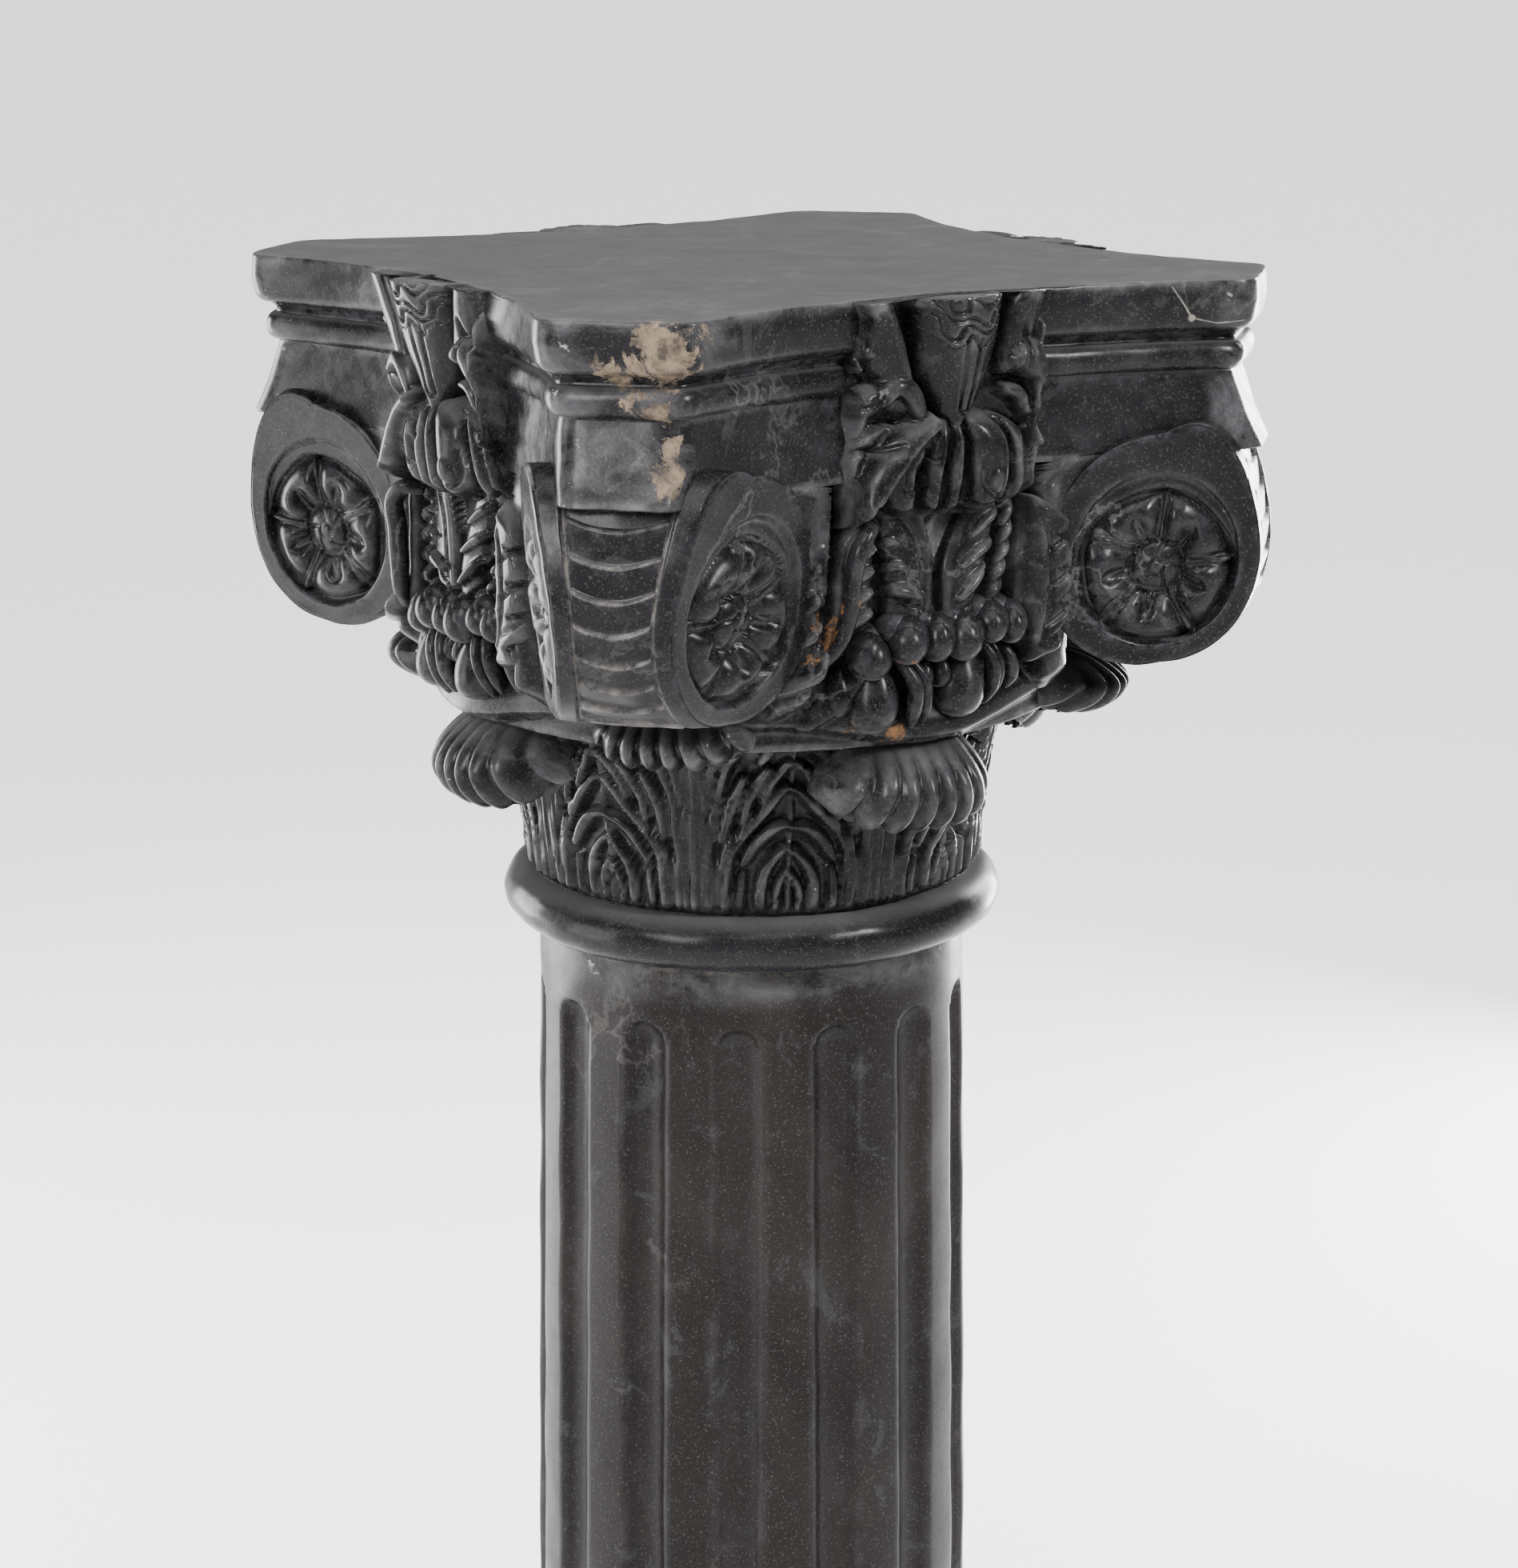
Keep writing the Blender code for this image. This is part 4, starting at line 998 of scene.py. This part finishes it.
def build_base(carver):
    """Square plinth, two round mouldings and the hollow between them."""
    floor = (base_box[0][2] - JOINT) / MM
    turn = full_turn(128)
    square_turn = np.maximum(np.abs(np.cos(turn)), np.abs(np.sin(turn)))
    square = ((PLINTH_HALF - 2.5, 0.0), (PLINTH_HALF - 0.6, 0.8), (PLINTH_HALF, 2.5),
              (PLINTH_HALF, PLINTH_HEIGHT / 2), (PLINTH_HALF, PLINTH_HEIGHT - 2.5),
              (PLINTH_HALF - 0.7, PLINTH_HEIGHT - 0.7), (PLINTH_HALF - 2.5, PLINTH_HEIGHT))
    rings = [about_axis(half / square_turn, turn, floor + height) for half, height in square]
    foot = FOOT_RADIUS + FOOT_FLARE
    profile = []

    def torus(wall, low, height):
        for a in np.linspace(0, math.pi, 22):
            bulge = height / 2 * math.sin(a) ** 0.9
            profile.append((wall + bulge, low + height * (1 - math.cos(a)) / 2))

    lower_wall = foot + 40.0 - 17.0
    upper_wall = foot + 22.0 - 10.0
    torus(lower_wall, PLINTH_HEIGHT, 34.0)
    profile += [(lower_wall + 0.5, 80.6), (lower_wall, 81.5), (lower_wall, 83.6)]
    for share in np.linspace(0.04, 0.96, 16):
        profile.append((lerp(lower_wall, upper_wall, share) - 8.0 * math.sin(math.pi * share),
                        84.0 + 22.0 * share))
    profile += [(upper_wall, 106.2), (upper_wall, 109.4)]
    torus(upper_wall, 110.0, 20.0)
    rings += [about_axis(radius, turn, floor + height) for radius, height in profile]
    carver.grid(np.array(rings), around=True, capped=True)


# Marble

def node(tree, kind, **inputs):
    """A node with its sockets or settings given by name."""
    item = tree.nodes.new(kind)
    for name, value in inputs.items():
        key = name.replace("_", " ")
        if key in item.inputs:
            item.inputs[key].default_value = value
        else:
            setattr(item, name, value)
    return item


def grey(value):
    """Colour with the same value three times."""
    return (value, value, value, 1)


def ramp(tree, value, stops, smooth=False):
    """A colour ramp over a value, from (position, grey or colour) stops."""
    item = tree.nodes.new("ShaderNodeValToRGB")
    if smooth:
        item.color_ramp.interpolation = "EASE"
    elements = item.color_ramp.elements
    while len(elements) < len(stops):
        elements.new(0.5)
    for element, (place, colour) in zip(elements, stops):
        element.position = place
        element.color = colour if isinstance(colour, tuple) else grey(colour)
    tree.links.new(value, item.inputs["Fac"])
    return item.outputs["Color"]


def math_node(tree, operation, first, second):
    """One sum, product or the like of two values."""
    item = tree.nodes.new("ShaderNodeMath")
    item.operation = operation
    item.use_clamp = True
    for socket, value in zip(item.inputs, (first, second)):
        if isinstance(value, (int, float)):
            socket.default_value = value
        else:
            tree.links.new(value, socket)
    return item.outputs["Value"]


def times(tree, first, second):
    """Product of two values, kept between 0 and 1."""
    return math_node(tree, "MULTIPLY", first, second)


def plus(tree, first, second):
    """Sum of two values, kept between 0 and 1."""
    return math_node(tree, "ADD", first, second)


def mix(tree, amount, first, second):
    """Mixes two colours."""
    item = tree.nodes.new("ShaderNodeMix")
    item.data_type = "RGBA"
    tree.links.new(amount, item.inputs["Factor"])
    for socket, value in ((item.inputs[6], first), (item.inputs[7], second)):
        if isinstance(value, tuple):
            socket.default_value = value
        else:
            tree.links.new(value, socket)
    return item.outputs[2]


def noise(tree, place, scale, detail=5.0, roughness=0.6, distortion=0.0):
    """Cloudy values around one half, over places in the stone."""
    item = node(tree, "ShaderNodeTexNoise", Scale=scale, Detail=detail, Roughness=roughness,
                Distortion=distortion)
    tree.links.new(place, item.inputs["Vector"])
    return item.outputs["Fac"]


def stored(tree, name):
    """The three values stored in a colour attribute of the mesh."""
    attribute = node(tree, "ShaderNodeAttribute", attribute_name=name)
    split = tree.nodes.new("ShaderNodeSeparateColor")
    tree.links.new(attribute.outputs["Color"], split.inputs["Color"])
    return split.outputs["Red"], split.outputs["Green"], split.outputs["Blue"]


def vector_math(tree, operation, first, second, scale=None):
    """One operation on two vectors."""
    item = tree.nodes.new("ShaderNodeVectorMath")
    item.operation = operation
    for socket, value in zip(item.inputs, (first, second)):
        if isinstance(value, (tuple, Vector)):
            socket.default_value = value
        elif value is not None:
            tree.links.new(value, socket)
    if scale is not None:
        tree.links.new(scale, item.inputs["Scale"])
    return item.outputs["Value" if operation in ("DOT_PRODUCT", "DISTANCE") else "Vector"]


# Pale crack at the right of the slab's front, in millimetres from the axis and joint, and its chip
CRACK = ((106.0, -172.0, 303.5), (115.0, -175.0, 290.0), (126.0, -179.0, 287.5),
         (138.0, -184.0, 288.5))
CRACK_CHIP = 1
# Squeezes depth, so that the crack follows the slab's curved band
FLATTEN = Vector((1.0, 0.05, 1.0))


def crack(tree, place, uneven):
    """How much of the crack shows: near 1 on its broken line and on its chip."""
    points = [(Vector(point) * MM + Vector((0, 0, JOINT))) * FLATTEN for point in CRACK]
    flat = vector_math(tree, "MULTIPLY", place, FLATTEN)
    shown = 0.0
    for start, end in zip(points, points[1:]):
        offset = vector_math(tree, "SUBTRACT", flat, start)
        line = end - start
        share = plus(tree, vector_math(tree, "DOT_PRODUCT", offset, line / line.length_squared), 0.0)
        nearest = vector_math(tree, "SCALE", line, None, share)
        gap = times(tree, vector_math(tree, "DISTANCE", offset, nearest), 480.0)
        gap = plus(tree, gap, times(tree, uneven, 0.62))
        shown = math_node(tree, "MAXIMUM", shown, ramp(tree, gap, ((0.34, 1.0), (0.52, 0.0))))
    chip = times(tree, vector_math(tree, "DISTANCE", flat, points[CRACK_CHIP]), 200.0)
    chip = plus(tree, chip, times(tree, uneven, 0.30))
    return math_node(tree, "MAXIMUM", shown, ramp(tree, chip, ((0.40, 1.0), (0.50, 0.0))))


# Tints of what lies on or shows in the marble, and how rough it is there
FILM_TINT = (0.030, 0.029, 0.031, 1)
VEIN_TINT = (0.085, 0.082, 0.078, 1)
SPECK_TINT = (0.075, 0.072, 0.070, 1)
CUT_DUST_TINT = (0.050, 0.048, 0.053, 1)
LYING_DUST_TINT = (0.090, 0.088, 0.088, 1)
# Pale lavender tint of proud edges: partly rubbed stone, partly a painted highlight and sheen on ridges
RUBBED_AND_SHEEN_TINT = (0.085, 0.082, 0.086, 1)
CHIPPED_TINT = (0.24, 0.23, 0.22, 1)
TAN_TINTS = ((0.38, (0.040, 0.032, 0.025, 1)), (0.60, (0.150, 0.112, 0.078, 1)))
RUST_TINTS = ((0.38, (0.045, 0.022, 0.010, 1)), (0.62, (0.170, 0.088, 0.036, 1)))
CRACK_TINT = (0.150, 0.140, 0.118, 1)
JOINT_TINT = (0.19, 0.175, 0.158, 1)
FILM_ROUGHNESS = 0.42
CUT_DUST_ROUGHNESS = 0.5
LYING_DUST_ROUGHNESS = 0.52
STAIN_ROUGHNESS = 0.66
SPECULAR_LEVEL = 0.09


def weighed(tree, first, first_weight, second, second_weight):
    """Sum of two values, each with its weight."""
    return plus(tree, times(tree, first, first_weight), times(tree, second, second_weight))


def marble(name, stone, cloud, polish, dusty, veined, stained):
    """Near-black marble: soft clouds, pale veins, dust in the cuts, worn patches, and proud edges paled
    by rubbing and by a painted sheen.
    """
    material, tree, shader = new_material(name)
    place = node(tree, "ShaderNodeTexCoord").outputs["Object"]
    sunk, proud, upturned = stored(tree, "wear_and_sheen")
    crust, ochre, joint_line = stored(tree, "stains")

    broad = noise(tree, place, 7.0, 5.0, 0.62, 0.6)
    patches = noise(tree, place, 32.0, 8.0, 0.70, 0.6)
    fine = noise(tree, place, 130.0, 4.0, 0.7)
    grain = noise(tree, place, 850.0, 2.0, 0.75)

    colour = ramp(tree, broad, ((0.36, stone), (0.70, cloud)), smooth=True)
    # Soft mottling, and paler worn films with ragged edges
    film = times(tree, ramp(tree, patches, ((0.59, 0.0), (0.63, 1.0))), 0.6 * veined)
    colour = mix(tree, film, colour, FILM_TINT)
    # Pale veins: thin lines where a wide noise crosses its middle, broken up by another
    lines = noise(tree, place, 7.0, 9.0, 0.58, 0.25)
    line = ramp(tree, lines, ((0.493, 0.0), (0.4995, 1.0), (0.5005, 1.0), (0.507, 0.0)))
    gaps = ramp(tree, noise(tree, place, 5.0, 3.0, 0.6), ((0.52, 0.0), (0.64, 1.0)))
    colour = mix(tree, times(tree, times(tree, line, gaps), veined), colour, VEIN_TINT)
    # Specks
    speck = ramp(tree, grain, ((0.57, 0.0), (0.70, 1.0)))
    colour = mix(tree, times(tree, speck, 0.35), colour, SPECK_TINT)
    # Dust in the cuts and a little on what faces up
    dusted = times(tree, sunk, ramp(tree, fine, ((0.40, 0.0), (0.62, 1.0))))
    in_cuts = times(tree, dusted, 0.42 * dusty)
    colour = mix(tree, in_cuts, colour, CUT_DUST_TINT)
    lying = times(tree, ramp(tree, upturned, ((0.45, 0.0), (0.98, 1.0))),
                  ramp(tree, patches, ((0.30, 0.75), (0.65, 1.0))))
    colour = mix(tree, times(tree, lying, 0.55 * dusty), colour, LYING_DUST_TINT)
    # Proud edges paled partly by rubbing and partly as a painted highlight and sheen on ridges, and
    # small chips
    rubbed_and_sheen = times(tree, proud, ramp(tree, patches, ((0.40, 0.0), (0.62, 1.0))))
    colour = mix(tree, times(tree, rubbed_and_sheen, 0.5), colour, RUBBED_AND_SHEEN_TINT)
    chips = ramp(tree, noise(tree, place, 110.0, 4.0, 0.75), ((0.66, 0.0), (0.70, 1.0)))
    chipped = times(tree, ramp(tree, proud, ((0.35, 0.0), (0.7, 1.0))), chips)
    colour = mix(tree, times(tree, chipped, 0.6), colour, CHIPPED_TINT)
    rough = ramp(tree, fine, ((0.25, polish), (0.75, polish + 0.16)))
    rough = mix(tree, film, rough, grey(FILM_ROUGHNESS))
    rough = mix(tree, in_cuts, rough, grey(CUT_DUST_ROUGHNESS))
    rough = mix(tree, lying, rough, grey(LYING_DUST_ROUGHNESS))
    if stained:
        # Tan crust and ochre patches where the polished skin is gone, and the pale line of the joint
        ragged = noise(tree, place, 75.0, 7.0, 0.75, 0.5)
        tan = ramp(tree, weighed(tree, crust, 0.46, ragged, 0.85), ((0.735, 0.0), (0.765, 1.0)))
        colour = mix(tree, times(tree, tan, 0.9), colour, ramp(tree, fine, TAN_TINTS))
        rust = ramp(tree, weighed(tree, ochre, 0.38, ragged, 0.95), ((0.765, 0.0), (0.81, 1.0)))
        colour = mix(tree, times(tree, rust, 0.75), colour, ramp(tree, fine, RUST_TINTS))
        colour = mix(tree, times(tree, crack(tree, place, fine), 0.8), colour, CRACK_TINT)
        line = times(tree, joint_line, ramp(tree, fine, ((0.40, 0.1), (0.62, 0.7))))
        colour = mix(tree, line, colour, JOINT_TINT)
        rough = mix(tree, math_node(tree, "MAXIMUM", tan, rust), rough, grey(STAIN_ROUGHNESS))
    tree.links.new(colour, shader.inputs["Base Color"])
    tree.links.new(rough, shader.inputs["Roughness"])
    shader.inputs["Specular IOR Level"].default_value = SPECULAR_LEVEL
    bump = node(tree, "ShaderNodeBump", Strength=0.25, Distance=0.0006)
    tree.links.new(weighed(tree, fine, 0.5, patches, 0.5), bump.inputs["Height"])
    tree.links.new(bump.outputs["Normal"], shader.inputs["Normal"])
    return material


capital_marble = marble("capital_marble", (0.0022, 0.0021, 0.0027, 1), (0.0080, 0.0076, 0.0086, 1),
                        polish=0.18, dusty=1.0, veined=0.5, stained=True)
shaft_marble = marble("shaft_marble", (0.0038, 0.0031, 0.0028, 1), (0.0100, 0.0087, 0.0080, 1),
                      polish=0.26, dusty=0.9, veined=0.6, stained=True)
base_marble = marble("base_marble", (0.0030, 0.0027, 0.0029, 1), (0.0080, 0.0073, 0.0076, 1),
                     polish=0.24, dusty=0.9, veined=0.35, stained=False)


def dress(carver, name, material, nodes, sharp=None):
    """Makes a piece, lets it ride with the pedestal and stand for its node."""
    item = carver.make(name, material, sharp)
    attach(item, "root")
    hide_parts(*nodes)


slab = Carver()
build_slab(slab)
dress(slab, "capital_slab", capital_marble, ["capital"], 40)

bell = Carver()
build_bell(bell)
dress(bell, "capital_bell", capital_marble, ["capital"])

for quarter, corner_name in enumerate(("front_right", "back_right", "back_left", "front_left")):
    scroll = Carver()
    build_scroll(scroll, (quarter + 0.5) * math.pi / 2)
    dress(scroll, "capital_scroll_" + corner_name, capital_marble, ["capital"])

leaves = Carver()
for quarter in range(4):
    middle = quarter * math.pi / 2
    side_leaf = curled_leaf(reach=160.5, tip=112.0, fall=41.0, half_width=43.0, seed=0.13 * quarter)
    corner_leaf = curled_leaf(reach=176.0, tip=136.0, fall=30.0, half_width=38.0, seed=0.31 * quarter)
    leaves.solid(side_leaf, middle)
    leaves.solid(corner_leaf, middle + math.pi / 4)
dress(leaves, "capital_leaves", capital_marble, ["capital"])

for quarter, side_name in enumerate(("front", "right", "back", "left")):
    side = Carver()
    build_side(side, quarter * math.pi / 2)
    dress(side, "capital_side_" + side_name, capital_marble, ["capital"])

shaft = Carver()
build_shaft(shaft)
dress(shaft, "fluted_shaft", shaft_marble, ["shaft"])

base = Carver(wobble=False)
build_base(base)
dress(base, "turned_base", base_marble, ["base"], 35)


# Studio

FLOOR_REACH = 60.0
SKY_STRENGTH = 0.34
LIGHTS_AIM = Vector((0, 0, 0.95))


def build_studio():
    """Wide pale floor, soft box lights, a broad sun and an even pale sky."""
    material, _, shader = new_material("studio_paper")
    shader.inputs["Base Color"].default_value = grey(0.90)
    shader.inputs["Roughness"].default_value = 0.9
    mesh = bpy.data.meshes.new("studio_floor")
    reach = FLOOR_REACH
    corners = [(-reach, -reach, 0), (reach, -reach, 0), (reach, reach, 0), (-reach, reach, 0)]
    mesh.from_pydata(corners, [], [(0, 1, 2, 3)])
    mesh.materials.append(material)
    link("studio_floor", mesh)
    world = bpy.data.worlds.new("studio_sky")
    world.use_nodes = True
    background = world.node_tree.nodes["Background"]
    background.inputs["Color"].default_value = grey(1.0)
    background.inputs["Strength"].default_value = SKY_STRENGTH
    bpy.context.scene.world = world
    # Name, place, width, height and power
    lights = (
        ("left_softbox", (-2.2, 0.7, 0.85), 0.9, 1.5, 50.0),
        ("rear_left_softbox", (-1.1, 2.2, 0.80), 1.1, 1.5, 115.0),
        ("rear_right_softbox", (2.2, 0.9, 0.85), 0.6, 1.6, 120.0),
        ("right_softbox", (1.1, -2.3, 2.6), 0.4, 0.7, 150.0),
        ("high_left_softbox", (-2.2, -0.9, 2.1), 0.5, 0.9, 75.0),
    )
    for name, place, width, height, power in lights:
        data = bpy.data.lights.new(name, "AREA")
        data.shape = "RECTANGLE"
        data.size = width
        data.size_y = height
        data.energy = power
        light = link(name, data)
        light.location = place
        light.rotation_euler = (LIGHTS_AIM - Vector(place)).to_track_quat("-Z", "Y").to_euler()
    data = bpy.data.lights.new("high_sun", "SUN")
    data.angle = math.radians(60)
    data.energy = 5.8
    sun = link("high_sun", data)
    sun.rotation_euler = (math.radians(12), math.radians(-10), 0)


def build_camera():
    """Camera at the photograph's view."""
    data = bpy.data.cameras.new("photo_camera")
    data.sensor_fit = "VERTICAL"
    data.sensor_width = 36.0
    data.sensor_height = 36.0
    data.lens = CAMERA_LENS
    camera = link("photo_camera", data)
    c, s = math.cos(CAMERA_TURN), math.sin(CAMERA_TURN)
    aim = Vector((c, s, 0)) * AIM_ACROSS + Vector((0, 0, JOINT + AIM_ABOVE_JOINT))
    level = math.cos(CAMERA_LIFT)
    back = Vector((s * level, -c * level, math.sin(CAMERA_LIFT)))
    camera.location = aim + back * CAMERA_DISTANCE
    camera.rotation_euler = (-back).to_track_quat("-Z", "Y").to_euler()
    bpy.context.scene.camera = camera


build_studio()
build_camera()
